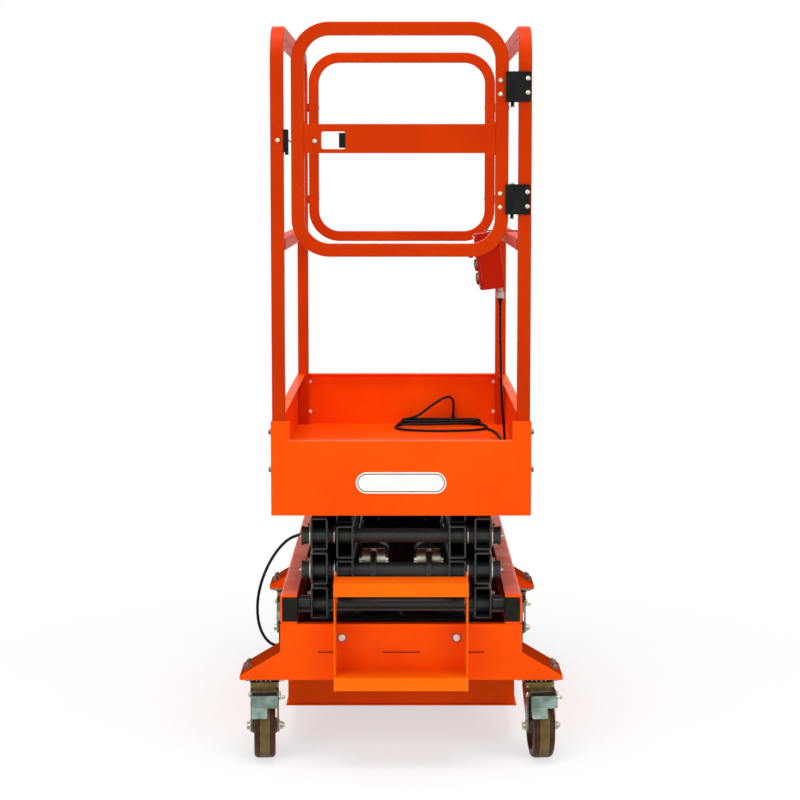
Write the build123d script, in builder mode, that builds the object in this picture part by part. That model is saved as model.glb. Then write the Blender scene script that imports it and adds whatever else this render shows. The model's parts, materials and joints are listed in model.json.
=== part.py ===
"""A small push-around scissor lift: a steel base on four swivel casters, three
stages of crossed arms raised by two hydraulic cylinders, and a guarded deck.

X runs across the machine, Y from the gate end to the back, Z up, in millimetres.
The origin is on the floor, under the middle of the whole machine.
"""

import os
from math import asin, atan2, cos, degrees, hypot, radians, sin, tan

from build123d import *

os.makedirs("parts", exist_ok=True)

# ---- overall ---------------------------------------------------------------
deck_length = 1170.0
deck_width = 604.0
step_reach = 88.0
front_face = step_reach - (deck_length + step_reach) / 2
back_face = front_face + deck_length
running = 0.06  # radial clearance of a pin in its bush
loose = 0.4  # radial clearance at the pivots where the linkage is opened
flat_gap = 0.3  # between flat faces that slide past each other

# ---- casters ---------------------------------------------------------------
caster_height = 190.0
caster_x = deck_width / 2 + 23.0
caster_inset = 69.0  # swivel axis behind the end face of the base
caster_plate_x, caster_plate_y, caster_plate_thick = 108.0, 102.0, 5.0
race_radius, race_height = 36.0, 8.0
king_pin_radius = 6.0
crown_thick = 6.0
fork_wall = 4.5
wheel_radius, wheel_width = 75.0, 50.0
wheel_trail = 45.0
hub_radius, hub_width = 18.0, 57.4
axle_radius = 6.0
pedal_width, tab_width = 60.0, 36.0
fork_angles = {"front_left": 4.0, "front_right": 5.0, "rear_left": 0.0, "rear_right": -3.0}

# ---- base ------------------------------------------------------------------
rail_set_in = 19.0  # rails inside the deck's sides
rail_outer_x = deck_width / 2 - rail_set_in
rail_width, rail_height, rail_wall = 40.0, 68.0, 5.0
end_height = 134.0  # height of the plates that close the base at each end
end_plate = 5.0
end_flange = 20.0
outrigger_reach, outrigger_depth = 96.0, 125.0  # reach from the rails' outer faces
outrigger_tip_x = rail_outer_x + outrigger_reach
outrigger_floor, outrigger_tip_height, outrigger_rise = 8.0, 10.0, 67.0
outrigger_cover_x = outrigger_tip_x - 24.0
tray_half_x, tray_wall = rail_outer_x - 6.0, 4.0
tray_bottom, tray_end_top = 75.0, 250.0
tray_length, tray_clearance = 760.0, 27.5  # clearance to the cylinders' crossbar
tray_lip = 5.0  # floor sheet past the walls, for its weld
rail_bottom = caster_height + end_height
rail_inner_x = rail_outer_x - rail_width

# ---- scissor ---------------------------------------------------------------
arm_length = 1040.0  # pin to pin
arm_height, arm_width, arm_wall = 76.0, 40.0, 4.0
arm_overhang = 40.0
top_end_radius = 25.0  # rounds the top stage's upper ends clear of the floor
outer_arm_x = rail_outer_x - 91.0
inner_arm_x = outer_arm_x - 60.0
arm_corner = 5.0
pin_rise = 82.0  # one stage's height when lowered
pin_inset = 65.0  # fixed pins behind the end face
pin_offset = 12.0  # pins off the tube's centre line
pin_radius, bush_radius, tie_radius = 15.0, 20.0, 17.0
collar_radius = 22.0
stages = 3
rest_angle = asin(pin_rise / arm_length)
pin_front_y = front_face + pin_inset
pin_back_y = pin_front_y + arm_length * cos(rest_angle)
base_pin_z = rail_bottom + rail_height / 2
level_z = [base_pin_z + pin_rise * level for level in range(stages + 1)]
deck_pin_z = level_z[stages]

# ---- lift cylinders --------------------------------------------------------
cylinder_x = inner_arm_x / 2
hinge_inset, hinge_drop = 155.0, 58.0  # from the back face, below the base's pins
hinge_y, hinge_z = back_face - hinge_inset, base_pin_z - hinge_drop
crossbar = 45.0
eye_back, eye_up = 74.0, 10.0  # rod's eye from the first upper front pin
barrel_radius, rod_radius = 35.0, 17.5
barrel_start, barrel_length = 26.0, 560.0
rod_start = 170.0
hinge_pin_radius, hinge_eye_width, hinge_eye_radius = 12.0, 40.0, 20.0
clevis_width, clevis_slot, clevis_half_height, clevis_back = 56.0, 14.0, 26.0, 55.0
tongue_thick, tongue_wall = 12.0, 6.0

# ---- deck ------------------------------------------------------------------
sheet = 3.0
skirt_drop = 24.0  # skirt's lower edge below the deck's pins
floor_rise = 48.0  # deck's floor above the deck's pins
floor_z = deck_pin_z + floor_rise
skirt_z = deck_pin_z - skirt_drop
panel_height, corner_height, board_height = 103.0, 149.0, 146.0  # above the floor
corner_width = 44.0
lip = 20.0
deck_roller_channel = 40.0 + 2 * sheet
post = 30.0
guard_height, mid_rail_height = 1059.0, 556.0  # top and mid rail above the floor
guard_bend = 95.0
post_outer_x = deck_width / 2 - sheet
post_inner_x = post_outer_x - post
post_front_y = front_face + sheet
post_back_y = back_face - sheet
guard_z = floor_z + guard_height
mid_rail_z = floor_z + mid_rail_height
loop_rise, loop_tall = 529.0, 534.0  # gate's and back guard's ring above the floor
loop_bottom_z, loop_top_z = floor_z + loop_rise, floor_z + loop_rise + loop_tall
loop_tube, loop_pad = 28.0, 4.0
spacer_rises, spacer_radius = (648.0, 908.0), 11.0

# ---- gate ------------------------------------------------------------------
latch_gap, hinge_gap = 17.5, 23.0  # from the gate to the posts
gate_left_x, gate_right_x = latch_gap - post_inner_x, post_inner_x - hinge_gap
gate_bottom_z, gate_top_z = loop_bottom_z, loop_top_z
gate_bend = 88.0
gate_set_back = 1.0
gate_front_y = post_front_y + gate_set_back
gate_back_y = gate_front_y + post
band_rise, band_height, band_depth = 766.0, 66.0, 22.0
band_bottom_z, band_top_z = floor_z + band_rise, floor_z + band_rise + band_height
window_inset, window_width, window_margin = 69.5, 55.0, 9.0
window_left_x = gate_left_x + window_inset
window_right_x = window_left_x + window_width
latch_width = 15.0
hinge_pin_inset = 13.0  # hinge pins inside the posts
hinge_x, hinge_y_gate = post_inner_x - hinge_pin_inset, gate_back_y + 5.0
hinge_pin, knuckle_radius, leaf_thick = 4.0, 7.0, 4.0
hinge_height, leaf_reach = 69.0, 28.0
lower_hinge_rise, upper_hinge_rise = 626.0, 882.0
hinge_bottoms = (floor_z + lower_hinge_rise, floor_z + upper_hinge_rise)

# ---- control box and cords -------------------------------------------------
box_thick, box_breadth, box_tall, box_tilt = 62.0, 80.0, 146.0, 7.0
box_inset, box_from_back, box_hang = 40.0, 545.0, 61.0
box_x, box_y, box_z = post_inner_x - box_inset, back_face - box_from_back, mid_rail_z - box_hang
cord_radius = 3.5
gland_radius = 10.5


def save(built, name):
    """Label a finished piece and write it under its own name."""
    built.part.label = name
    export_step(built.part, f"parts/{name}.step")


def upright(y):
    """The upright plane across the machine at y; an extrusion goes to the front."""
    return Plane.XZ.offset(-y)


def lengthwise(x):
    """The upright plane along the machine at x; an extrusion goes to the right."""
    return Plane.YZ.offset(x)


def cross_pin(at, x_from, x_to, radius, mode=Mode.ADD):
    """A round bar or bore along X, from x_from to x_to, centred on at = (y, z)."""
    with BuildSketch(lengthwise(x_from)) as section:
        with Locations(at):
            Circle(radius)
    extrude(section.sketch, amount=x_to - x_from, mode=mode)


def block(low, high, mode=Mode.ADD):
    """A plain plate or bar between two corners."""
    size = [b - a for a, b in zip(low, high)]
    middle = tuple((a + b) / 2 for a, b in zip(low, high))
    with Locations(middle):
        Box(*size, mode=mode)


# ============================== base ========================================
# Side rails: rolled channels that open inward, so the lower rollers run inside them.
rail_corner = 7.0
for side, hand in ((-1, "left"), (1, "right")):
    web = Axis.X if side > 0 else -Axis.X
    with BuildPart() as rail:
        with BuildSketch(upright(back_face)) as outline:
            with Locations((side * (rail_outer_x - rail_width / 2), base_pin_z)):
                Rectangle(rail_width, rail_height)
            fillet(outline.vertices().sort_by(web)[-2:], rail_corner)
        extrude(amount=deck_length)
        with BuildSketch(upright(back_face)) as hollow:
            with Locations((side * (rail_outer_x - rail_wall - rail_width / 2), base_pin_z)):
                Rectangle(rail_width, rail_height - 2 * rail_wall)
            fillet(hollow.vertices().sort_by(web)[-2:], rail_corner - rail_wall)
        extrude(amount=deck_length, mode=Mode.SUBTRACT)
    save(rail, f"side_rail_{hand}")

# Rubber blocks that plug the four open ends of the rails.
plug_length = 30.0
with BuildPart() as plugs:
    for side in (-1, 1):
        web = Axis.X if side > 0 else -Axis.X
        for stop in (front_face + plug_length, back_face):
            with BuildSketch(upright(stop)) as plug:
                with Locations((side * (rail_outer_x - rail_wall + rail_inner_x) / 2, base_pin_z)):
                    Rectangle(rail_width - rail_wall, rail_height - 2 * rail_wall)
                fillet(plug.vertices().sort_by(web)[-2:], rail_corner - rail_wall)
            extrude(plug.sketch, amount=plug_length)
save(plugs, "rail_end_blocks")

# The end plates carry the rails and flare out into the four outriggers.
# Narrow drain slots run along the plates at the height of the outriggers' shoulders.
drain_slots = ((-176.0, 37.0), (0.0, 88.0), (176.0, 37.0))  # middle and length of each
slot_height = 4.0
cover_thick = 6.0
shoulder_z = caster_height + outrigger_rise
tip_z = caster_height + outrigger_tip_height
slope = (tip_z - shoulder_z) / (outrigger_tip_x - rail_outer_x)


def cover_z(x):
    """Height of the outrigger's sloping top edge at x."""
    return shoulder_z + slope * (x - rail_outer_x)


def end_frame(face_y, inward):
    """End plate with its flange and two outriggers; inward is +1 at the front."""
    with BuildPart() as frame:
        with BuildSketch(upright(face_y)):
            with BuildLine():
                Polyline(
                    (-outrigger_tip_x, caster_height),
                    (outrigger_tip_x, caster_height),
                    (outrigger_tip_x, tip_z),
                    (rail_outer_x, shoulder_z),
                    (rail_outer_x, rail_bottom),
                    (-rail_outer_x, rail_bottom),
                    (-rail_outer_x, shoulder_z),
                    (-outrigger_tip_x, tip_z),
                    close=True,
                )
            make_face()
            for slot_x, slot_length in drain_slots:
                with Locations((slot_x, shoulder_z)):
                    Rectangle(slot_length, slot_height, mode=Mode.SUBTRACT)
        extrude(amount=-inward * end_plate)
        flange_half = tray_half_x - tray_wall
        near, far = face_y, face_y + inward * end_flange
        block(
            (-flange_half, min(near, far), rail_bottom - end_plate),
            (flange_half, max(near, far), rail_bottom),
        )
        block(
            (-flange_half, min(near, far), caster_height),
            (flange_half, max(near, far), caster_height + end_plate),
        )
        for side in (-1, 1):
            with BuildSketch(upright(face_y)):
                with BuildLine():
                    Polyline(
                        (side * tray_half_x, caster_height),
                        (side * outrigger_tip_x, caster_height),
                        (side * outrigger_tip_x, tip_z),
                        (side * tray_half_x, cover_z(tray_half_x)),
                        close=True,
                    )
                make_face()
            extrude(amount=-inward * outrigger_depth)
            with BuildSketch(upright(face_y + inward * end_plate)):
                with BuildLine():
                    Polyline(
                        (side * tray_half_x, caster_height + outrigger_floor),
                        (side * 2 * outrigger_tip_x, caster_height + outrigger_floor),
                        (side * 2 * outrigger_tip_x, rail_bottom),
                        (side * outrigger_cover_x, rail_bottom),
                        (side * outrigger_cover_x, cover_z(outrigger_cover_x) - cover_thick),
                        (side * tray_half_x, cover_z(tray_half_x) - cover_thick),
                        close=True,
                    )
                make_face()
            extrude(amount=-inward * (outrigger_depth - 2 * end_plate), mode=Mode.SUBTRACT)
    return frame


save(end_frame(front_face, 1), "front_end_frame")

# The rear frame is closed up to the rails' tops; the front is open for the step.
rear_frame = end_frame(back_face, -1)
with rear_frame:
    block(
        (-rail_inner_x, back_face - end_plate, rail_bottom - end_plate),
        (rail_inner_x, back_face, rail_bottom + rail_height),
    )
save(rear_frame, "rear_end_frame")

# Chassis tray: sills under both rails, and a deep open tray between the casters.
tray_back = hinge_y - crossbar / 2 - tray_clearance
tray_front = tray_back - tray_length
sill_bottom = caster_height + outrigger_floor
with BuildPart() as tray:
    for side in (-1, 1):
        with BuildSketch(lengthwise(side * tray_half_x)):
            with BuildLine():
                Polyline(
                    (front_face + end_plate, rail_bottom),
                    (front_face + end_plate, sill_bottom),
                    (tray_front, sill_bottom),
                    (tray_front, tray_bottom),
                    (tray_back, tray_bottom),
                    (tray_back, sill_bottom),
                    (back_face - end_plate, sill_bottom),
                    (back_face - end_plate, rail_bottom),
                    close=True,
                )
            make_face()
        extrude(amount=-side * tray_wall)
    block(
        (-tray_half_x - tray_lip, tray_front - tray_lip, tray_bottom),
        (tray_half_x + tray_lip, tray_back + tray_lip, tray_bottom + tray_wall),
    )
    block(
        (-tray_half_x, tray_front, tray_bottom),
        (tray_half_x, tray_front + tray_wall, tray_end_top),
    )
    block(
        (-tray_half_x, tray_back - tray_wall, tray_bottom),
        (tray_half_x, tray_back, tray_end_top),
    )
save(tray, "chassis_tray")

# Battery and pump, one closed block standing on the tray's floor.
pack_half_x, pack_length, pack_height = 190.0, 440.0, 200.0
pack_set_back, pack_corner = 60.0, 12.0
with BuildPart() as pack:
    with BuildSketch(Plane.XY.offset(tray_bottom + tray_wall)):
        with Locations((0, tray_front + pack_set_back + pack_length / 2)):
            RectangleRounded(2 * pack_half_x, pack_length, pack_corner)
    extrude(amount=pack_height)
save(pack, "power_pack")

# Access step: two treads between two side plates on the front plate.
step_half_x, step_plate = 155.0, 4.0
cheek_set_back, cheek_rise = 8.0, 4.0
tread_low_z, tread_high_z, tread_lip = 216.0, 436.0, 30.0
step_side_low, step_side_high = 179.0, 449.0
step_front = front_face - step_reach
with BuildPart() as step:
    for side in (-1, 1):
        with BuildSketch(lengthwise(side * step_half_x)):
            with BuildLine():
                Polyline(
                    (front_face, step_side_low),
                    (step_front + cheek_set_back, step_side_low + cheek_rise),
                    (step_front + cheek_set_back, tread_high_z),
                    (front_face, step_side_high),
                    close=True,
                )
            make_face()
        extrude(amount=-side * step_plate)
    for tread_z in (tread_low_z, tread_high_z):
        with BuildSketch(lengthwise(-step_half_x)):
            with BuildLine():
                Polyline(
                    (front_face, tread_z),
                    (step_front, tread_z),
                    (step_front, tread_z - tread_lip),
                    (step_front + step_plate, tread_z - tread_lip),
                    (step_front + step_plate, tread_z - step_plate),
                    (front_face, tread_z - step_plate),
                    close=True,
                )
            make_face()
        extrude(amount=2 * step_half_x)
save(step, "access_step")

# Bosses inside the rails hold the fixed front pins of the first outer arms.
front_pins = [(pin_front_y, z) for z in level_z]
back_pins = [(pin_back_y, z) for z in level_z]
outer_face = outer_arm_x + arm_width / 2
outer_inside = outer_arm_x - arm_width / 2
inner_face = inner_arm_x + arm_width / 2
inner_inside = inner_arm_x - arm_width / 2
boss_gap, bore_gap = 3.0, 2.0
with BuildPart() as bosses:
    for side in (-1, 1):
        web = side * (rail_outer_x - rail_wall)
        cross_pin(front_pins[0], side * (outer_face + boss_gap), web, bush_radius)
        cross_pin(front_pins[0], side * (outer_inside + bore_gap), web, pin_radius)
save(bosses, "base_pivot_bosses")

# Crossbar between the sills, with a pair of lugs and a pin for each cylinder.
bar_top = hinge_z - 33.0
lug_thick, lug_gap, lug_radius = 10.0, 1.0, 22.0
with BuildPart() as cylinder_mount:
    bar_half = tray_half_x - tray_wall
    with BuildSketch(lengthwise(-bar_half)):
        with Locations((hinge_y, bar_top - crossbar / 2)):
            RectangleRounded(crossbar, crossbar, arm_corner)
    extrude(amount=2 * bar_half)
    for side in (-1, 1):
        for cheek in (-1, 1):
            inner_x = side * cylinder_x + cheek * (hinge_eye_width / 2 + lug_gap)
            with BuildSketch(lengthwise(inner_x)):
                with Locations((hinge_y, hinge_z)):
                    Circle(lug_radius)
                with Locations((hinge_y, (hinge_z + bar_top) / 2)):
                    Rectangle(2 * lug_radius, hinge_z - bar_top)
            extrude(amount=cheek * lug_thick)
        cross_pin(
            (hinge_y, hinge_z),
            side * cylinder_x - hinge_eye_width / 2 - lug_gap - lug_thick,
            side * cylinder_x + hinge_eye_width / 2 + lug_gap + lug_thick,
            hinge_pin_radius,
        )
save(cylinder_mount, "cylinder_mount")

# ============================== scissor =====================================
# Every arm is an open rectangular tube. Its lower pin sits under the tube's
# centre line and its upper pin above it, so three stages fold close together.
arm_slope = degrees(rest_angle) - degrees(asin(2 * pin_offset / arm_length))
arm_span = arm_length * cos(asin(2 * pin_offset / arm_length)) + 2 * arm_overhang


def arm_tubes(low, high, mid_x, bores, round_top):
    """Two open tubes at +-mid_x with a bush at each pin and a bore in each bush.

    bores holds (pin, radius); it runs inside the caller's part.
    """
    middle = ((low[0] + high[0]) / 2, (low[1] + high[1]) / 2)
    turn = arm_slope if high[0] > low[0] else -arm_slope
    along = Vector(0, cos(radians(turn)), sin(radians(turn)))
    for side in (-1, 1):
        section = Plane(origin=(side * mid_x, *middle), x_dir=(1, 0, 0), z_dir=along)
        with BuildSketch(section) as tube:
            RectangleRounded(arm_width, arm_height, arm_corner)
            RectangleRounded(
                arm_width - 2 * arm_wall,
                arm_height - 2 * arm_wall,
                arm_corner - arm_wall,
                mode=Mode.SUBTRACT,
            )
        arm = extrude(tube.sketch, amount=arm_span / 2, both=True, mode=Mode.PRIVATE)
        if round_top:
            with BuildSketch(lengthwise(side * mid_x)) as outline:
                with Locations(middle):
                    Rectangle(arm_span, arm_height, rotation=turn)
                fillet(outline.vertices().sort_by_distance((*high, 0))[:2], top_end_radius)
            arm &= extrude(outline.sketch, amount=arm_width / 2, both=True, mode=Mode.PRIVATE)
        add(arm)
        near, far = side * mid_x - arm_width / 2, side * mid_x + arm_width / 2
        for at in (low, middle, high):
            cross_pin(at, near, far, bush_radius)
        for at, radius in bores:
            cross_pin(at, near, far, radius, mode=Mode.SUBTRACT)


def both_sides(at, x_from, x_to, radius):
    """The same pin on the left and on the right."""
    for side in (-1, 1):
        cross_pin(at, side * x_from, side * x_to, radius)


stage_names = ("lower", "middle", "upper")
for stage, stage_name in enumerate(stage_names):
    # outer arms rise from the front to the back, inner arms from the back to the front
    outer_low, outer_high = front_pins[stage], back_pins[stage + 1]
    inner_low, inner_high = back_pins[stage], front_pins[stage + 1]
    centre = (
        (outer_low[0] + outer_high[0]) / 2,
        (outer_low[1] + outer_high[1]) / 2,
    )
    top_stage = stage == stages - 1
    with BuildPart() as outer:
        bores = [(outer_low, pin_radius + running)]
        if not top_stage:
            bores.append((outer_high, pin_radius + loose))
        arm_tubes(outer_low, outer_high, outer_arm_x, bores, top_stage)
        # centre pins pass through the inner arms and end in a washer
        both_sides(centre, inner_face + 1.5, outer_inside, bush_radius)
        both_sides(centre, inner_inside - 4, outer_inside, pin_radius)
        both_sides(centre, inner_inside - 4, inner_inside - flat_gap, bush_radius)
        if stage == 0:
            cross_pin(outer_low, -outer_inside, outer_inside, tie_radius)
        if top_stage:
            both_sides(outer_high, outer_face, rail_inner_x + 8, pin_radius)
            both_sides(outer_high, rail_inner_x + 8, rail_outer_x - sheet - 8, 8)
    save(outer, f"outer_arms_{stage_name}")

    with BuildPart() as inner:
        arm_tubes(inner_low, inner_high, inner_arm_x, [(centre, pin_radius + running)], top_stage)
        cross_pin(inner_high, -inner_inside, inner_inside, tie_radius)
        if stage == 0:
            # stub axles for the rollers in the base rails
            both_sides(inner_low, inner_face, rail_inner_x + 7, pin_radius)
            both_sides(inner_low, rail_inner_x + 7, rail_outer_x - rail_wall - 4, 12)
            # tongues for the cylinder rods
            for side in (-1, 1):
                eye = (inner_high[0] + eye_back, inner_high[1] + eye_up)
                with BuildSketch(lengthwise(side * cylinder_x)) as tongue:
                    with Locations(inner_high):
                        Circle(tie_radius + tongue_wall)
                    with Locations(eye):
                        Circle(hinge_eye_radius)
                    make_hull()
                extrude(tongue.sketch, amount=tongue_thick / 2, both=True)
        else:
            cross_pin(inner_low, -inner_inside, inner_inside, tie_radius)
            both_sides(inner_low, inner_face, outer_inside - 0.5, bush_radius)
            both_sides(inner_low, inner_face, outer_face + 6, pin_radius)
            both_sides(inner_low, outer_face + 0.5, outer_face + 6, bush_radius)
        if top_stage:
            both_sides(inner_high, inner_face, inner_face + 21, pin_radius)
        else:
            # the pin carries the next outer arm and ends in a greased collar
            both_sides(inner_high, inner_face, outer_inside - 0.5, bush_radius)
            both_sides(inner_high, inner_face, outer_face + 23, pin_radius)
            both_sides(inner_high, outer_face + 0.5, outer_face + 16, bush_radius)
            both_sides(inner_high, outer_face + 16, outer_face + 23, collar_radius)
    save(inner, f"inner_arms_{stage_name}")

# Rollers: the lower pair runs in the base rails, the upper pair under the deck.
base_roller_radius = rail_height / 2 - rail_wall - flat_gap
with BuildPart() as base_rollers:
    for side in (-1, 1):
        start, stop = side * (rail_inner_x + 7.1), side * (rail_outer_x - rail_wall - 2)
        cross_pin(back_pins[0], start, stop, base_roller_radius)
        cross_pin(back_pins[0], start, stop, 12.02, mode=Mode.SUBTRACT)
save(base_rollers, "base_rollers")

deck_roller_radius = deck_roller_channel / 2 - sheet - flat_gap
with BuildPart() as deck_rollers:
    for side in (-1, 1):
        start, stop = side * (rail_inner_x + 8.1), side * (rail_outer_x - sheet - 2)
        cross_pin(back_pins[stages], start, stop, deck_roller_radius)
        cross_pin(back_pins[stages], start, stop, 8.02, mode=Mode.SUBTRACT)
save(deck_rollers, "deck_rollers")

# Lift cylinders, drawn along their own line from the hinge pin to the rod's eye.
eye_y, eye_z = pin_front_y + eye_back, level_z[1] + eye_up
closed_length = hypot(eye_y - hinge_y, eye_z - hinge_z)
cylinder_angle = degrees(atan2(eye_z - hinge_z, eye_y - hinge_y))


def along_cylinder(x, distance):
    """A plane square to the cylinder's line, distance from the hinge pin."""
    turn = radians(cylinder_angle)
    direction = (0, cos(turn), sin(turn))
    origin = (x, hinge_y + distance * cos(turn), hinge_z + distance * sin(turn))
    return Plane(origin=origin, x_dir=(1, 0, 0), z_dir=direction)


with BuildPart() as barrels:
    for side in (-1, 1):
        x = side * cylinder_x
        cross_pin((hinge_y, hinge_z), x - hinge_eye_width / 2, x + hinge_eye_width / 2, hinge_eye_radius)
        with BuildSketch(along_cylinder(x, 10)):
            Rectangle(hinge_eye_width, 1.6 * hinge_eye_radius)
        extrude(amount=barrel_start - 10)
        with BuildSketch(along_cylinder(x, barrel_start)):
            Circle(barrel_radius)
        extrude(amount=barrel_length - barrel_start)
        with BuildSketch(along_cylinder(x, rod_start - 20)):
            Circle(rod_radius + running)
        extrude(amount=barrel_length - rod_start + 20, mode=Mode.SUBTRACT)
        cross_pin(
            (hinge_y, hinge_z),
            x - hinge_eye_width / 2,
            x + hinge_eye_width / 2,
            hinge_pin_radius + running,
            mode=Mode.SUBTRACT,
        )
save(barrels, "cylinder_barrels")

with BuildPart() as rods:
    for side in (-1, 1):
        x = side * cylinder_x
        with BuildSketch(along_cylinder(x, rod_start)):
            Circle(rod_radius)
        extrude(amount=closed_length - clevis_back - rod_start)
        with BuildSketch(along_cylinder(x, closed_length - clevis_back)):
            Rectangle(clevis_width, 2 * clevis_half_height)
        extrude(amount=clevis_back)
        cross_pin((eye_y, eye_z), x - clevis_width / 2, x + clevis_width / 2, clevis_half_height)
        with BuildSketch(along_cylinder(x, closed_length - clevis_back + 10)):
            Rectangle(clevis_slot, 2 * clevis_half_height + 2)
        extrude(amount=clevis_back + clevis_half_height, mode=Mode.SUBTRACT)
save(rods, "cylinder_rods")

# ============================== deck ========================================
floor_half_x = deck_width / 2 - sheet
floor_front, floor_back = front_face + sheet, back_face - sheet

# Floor sheet with folded cross ribs that the arms' upper ends pass outside.
rib_count, rib_width, rib_height = 4, 40.0, 22.0
rib_lead, rib_spread = 0.9, 4.6  # first rib and whole floor, in gaps between ribs
rib_half_x = inner_arm_x + arm_width / 2 + 10
with BuildPart() as floor:
    block((-floor_half_x, floor_front, floor_z - sheet), (floor_half_x, floor_back, floor_z))
    for number in range(rib_count):
        rib_y = floor_front + (floor_back - floor_front) * (number + rib_lead) / rib_spread
        block(
            (-rib_half_x, rib_y - rib_width / 2, floor_z - rib_height),
            (rib_half_x, rib_y + rib_width / 2, floor_z - sheet),
        )
save(floor, "deck_floor")

channel_half = deck_roller_channel / 2
for side, hand in ((-1, "left"), (1, "right")):
    with BuildPart() as channel:
        with BuildSketch(upright(floor_back)):
            with BuildLine():
                Polyline(
                    (side * rail_outer_x, floor_z - sheet),
                    (side * rail_outer_x, deck_pin_z - channel_half),
                    (side * rail_inner_x, deck_pin_z - channel_half),
                    (side * rail_inner_x, deck_pin_z - channel_half + sheet),
                    (side * (rail_outer_x - sheet), deck_pin_z - channel_half + sheet),
                    (side * (rail_outer_x - sheet), deck_pin_z + channel_half - sheet),
                    (side * rail_inner_x, deck_pin_z + channel_half - sheet),
                    (side * rail_inner_x, deck_pin_z + channel_half),
                    (side * (rail_outer_x - sheet), deck_pin_z + channel_half),
                    (side * (rail_outer_x - sheet), floor_z - sheet),
                    close=True,
                )
            make_face()
        extrude(amount=floor_back - floor_front)
    save(channel, f"deck_channel_{hand}")

# Lugs under the floor take the fixed front pins of the top inner arms.
lug_half_y, deck_lug_thick = 30.0, 14.0
with BuildPart() as deck_lugs:
    for side in (-1, 1):
        with BuildSketch(lengthwise(side * (inner_face + 3))):
            with Locations((pin_front_y, (deck_pin_z + floor_z - sheet) / 2)):
                Rectangle(2 * lug_half_y, floor_z - sheet - deck_pin_z)
            with Locations((pin_front_y, deck_pin_z)):
                Circle(lug_radius)
                Circle(pin_radius + running, mode=Mode.SUBTRACT)
        extrude(amount=side * deck_lug_thick)
save(deck_lugs, "deck_pivot_lugs")

# Front panel: a low sill to step over, with a raised ear in front of each post.
with BuildPart() as front_panel:
    with BuildSketch(upright(floor_front)):
        with BuildLine():
            Polyline(
                (-deck_width / 2, skirt_z),
                (deck_width / 2, skirt_z),
                (deck_width / 2, floor_z + corner_height),
                (deck_width / 2 - corner_width, floor_z + corner_height),
                (deck_width / 2 - corner_width, floor_z + panel_height),
                (-deck_width / 2 + corner_width, floor_z + panel_height),
                (-deck_width / 2 + corner_width, floor_z + corner_height),
                (-deck_width / 2, floor_z + corner_height),
                close=True,
            )
        make_face()
    extrude(amount=sheet)
    block(
        (-post_inner_x, floor_front, floor_z + panel_height - sheet),
        (post_inner_x, floor_front + lip, floor_z + panel_height),
    )
save(front_panel, "front_panel")

for side, hand in ((-1, "left"), (1, "right")):
    with BuildPart() as board:
        outside, inside = side * deck_width / 2, side * floor_half_x
        lip_edge = side * (floor_half_x - lip)
        top = floor_z + board_height
        block((min(outside, inside), floor_front, skirt_z), (max(outside, inside), floor_back, top))
        block(
            (min(inside, lip_edge), post_front_y + post, top - sheet),
            (max(inside, lip_edge), post_back_y - post, top),
        )
    save(board, f"toe_board_{hand}")

with BuildPart() as back_board:
    block(
        (-deck_width / 2, floor_back, skirt_z),
        (deck_width / 2, back_face, floor_z + board_height),
    )
    block(
        (-post_inner_x, floor_back - lip, floor_z + board_height - sheet),
        (post_inner_x, floor_back, floor_z + board_height),
    )
save(back_board, "toe_board_back")

# Side guards: one bent square tube each, front post to back post, and a mid rail.
tube_line, tube_corner = post / 2, 3.0
for side, hand in ((-1, "left"), (1, "right")):
    with BuildPart() as guard:
        guard_x = side * (post_outer_x - tube_line)
        with BuildLine(lengthwise(guard_x)):
            FilletPolyline(
                (post_front_y + tube_line, floor_z),
                (post_front_y + tube_line, guard_z - tube_line),
                (post_back_y - tube_line, guard_z - tube_line),
                (post_back_y - tube_line, floor_z),
                radius=guard_bend - tube_line,
            )
        with BuildSketch(Plane.XY.offset(floor_z)):
            with Locations((guard_x, post_front_y + tube_line)):
                RectangleRounded(post, post, tube_corner)
        sweep()
        with BuildSketch(upright(post_back_y - tube_line)):
            with Locations((guard_x, mid_rail_z)):
                RectangleRounded(post, post, tube_corner)
        extrude(amount=post_back_y - post_front_y - post)
    save(guard, f"side_guard_{hand}")


def tube_ring(x_low, x_high, z_low, z_high, y_middle, bend, size):
    """A closed rounded ring of square tube standing across the machine."""
    with BuildSketch(upright(y_middle)) as ring:
        with Locations(((x_low + x_high) / 2, (z_low + z_high) / 2)):
            RectangleRounded(x_high - x_low, z_high - z_low, bend)
            RectangleRounded(
                x_high - x_low - 2 * size, z_high - z_low - 2 * size, bend - size, mode=Mode.SUBTRACT
            )
    solid = extrude(ring.sketch, amount=size / 2, both=True, mode=Mode.PRIVATE)
    add(solid.fillet(tube_corner, solid.edges()))


# Back guard: a rounded ring bolted between the back posts on four spacers.
with BuildPart() as back_guard:
    ring_y = post_back_y - post / 2
    ring_half = post_inner_x - loop_pad
    tube_ring(-ring_half, ring_half, loop_bottom_z, loop_top_z, ring_y, gate_bend, loop_tube)
    for side in (-1, 1):
        for rise in spacer_rises:
            spacer = (ring_y, floor_z + rise)
            cross_pin(spacer, side * (ring_half - 1), side * post_inner_x, spacer_radius)
save(back_guard, "back_guard")

# ============================== gate ========================================
with BuildPart() as gate:
    gate_mid_y = (gate_front_y + gate_back_y) / 2
    tube_ring(gate_left_x, gate_right_x, gate_bottom_z, gate_top_z, gate_mid_y, gate_bend, post)
save(gate, "gate_frame")

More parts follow.
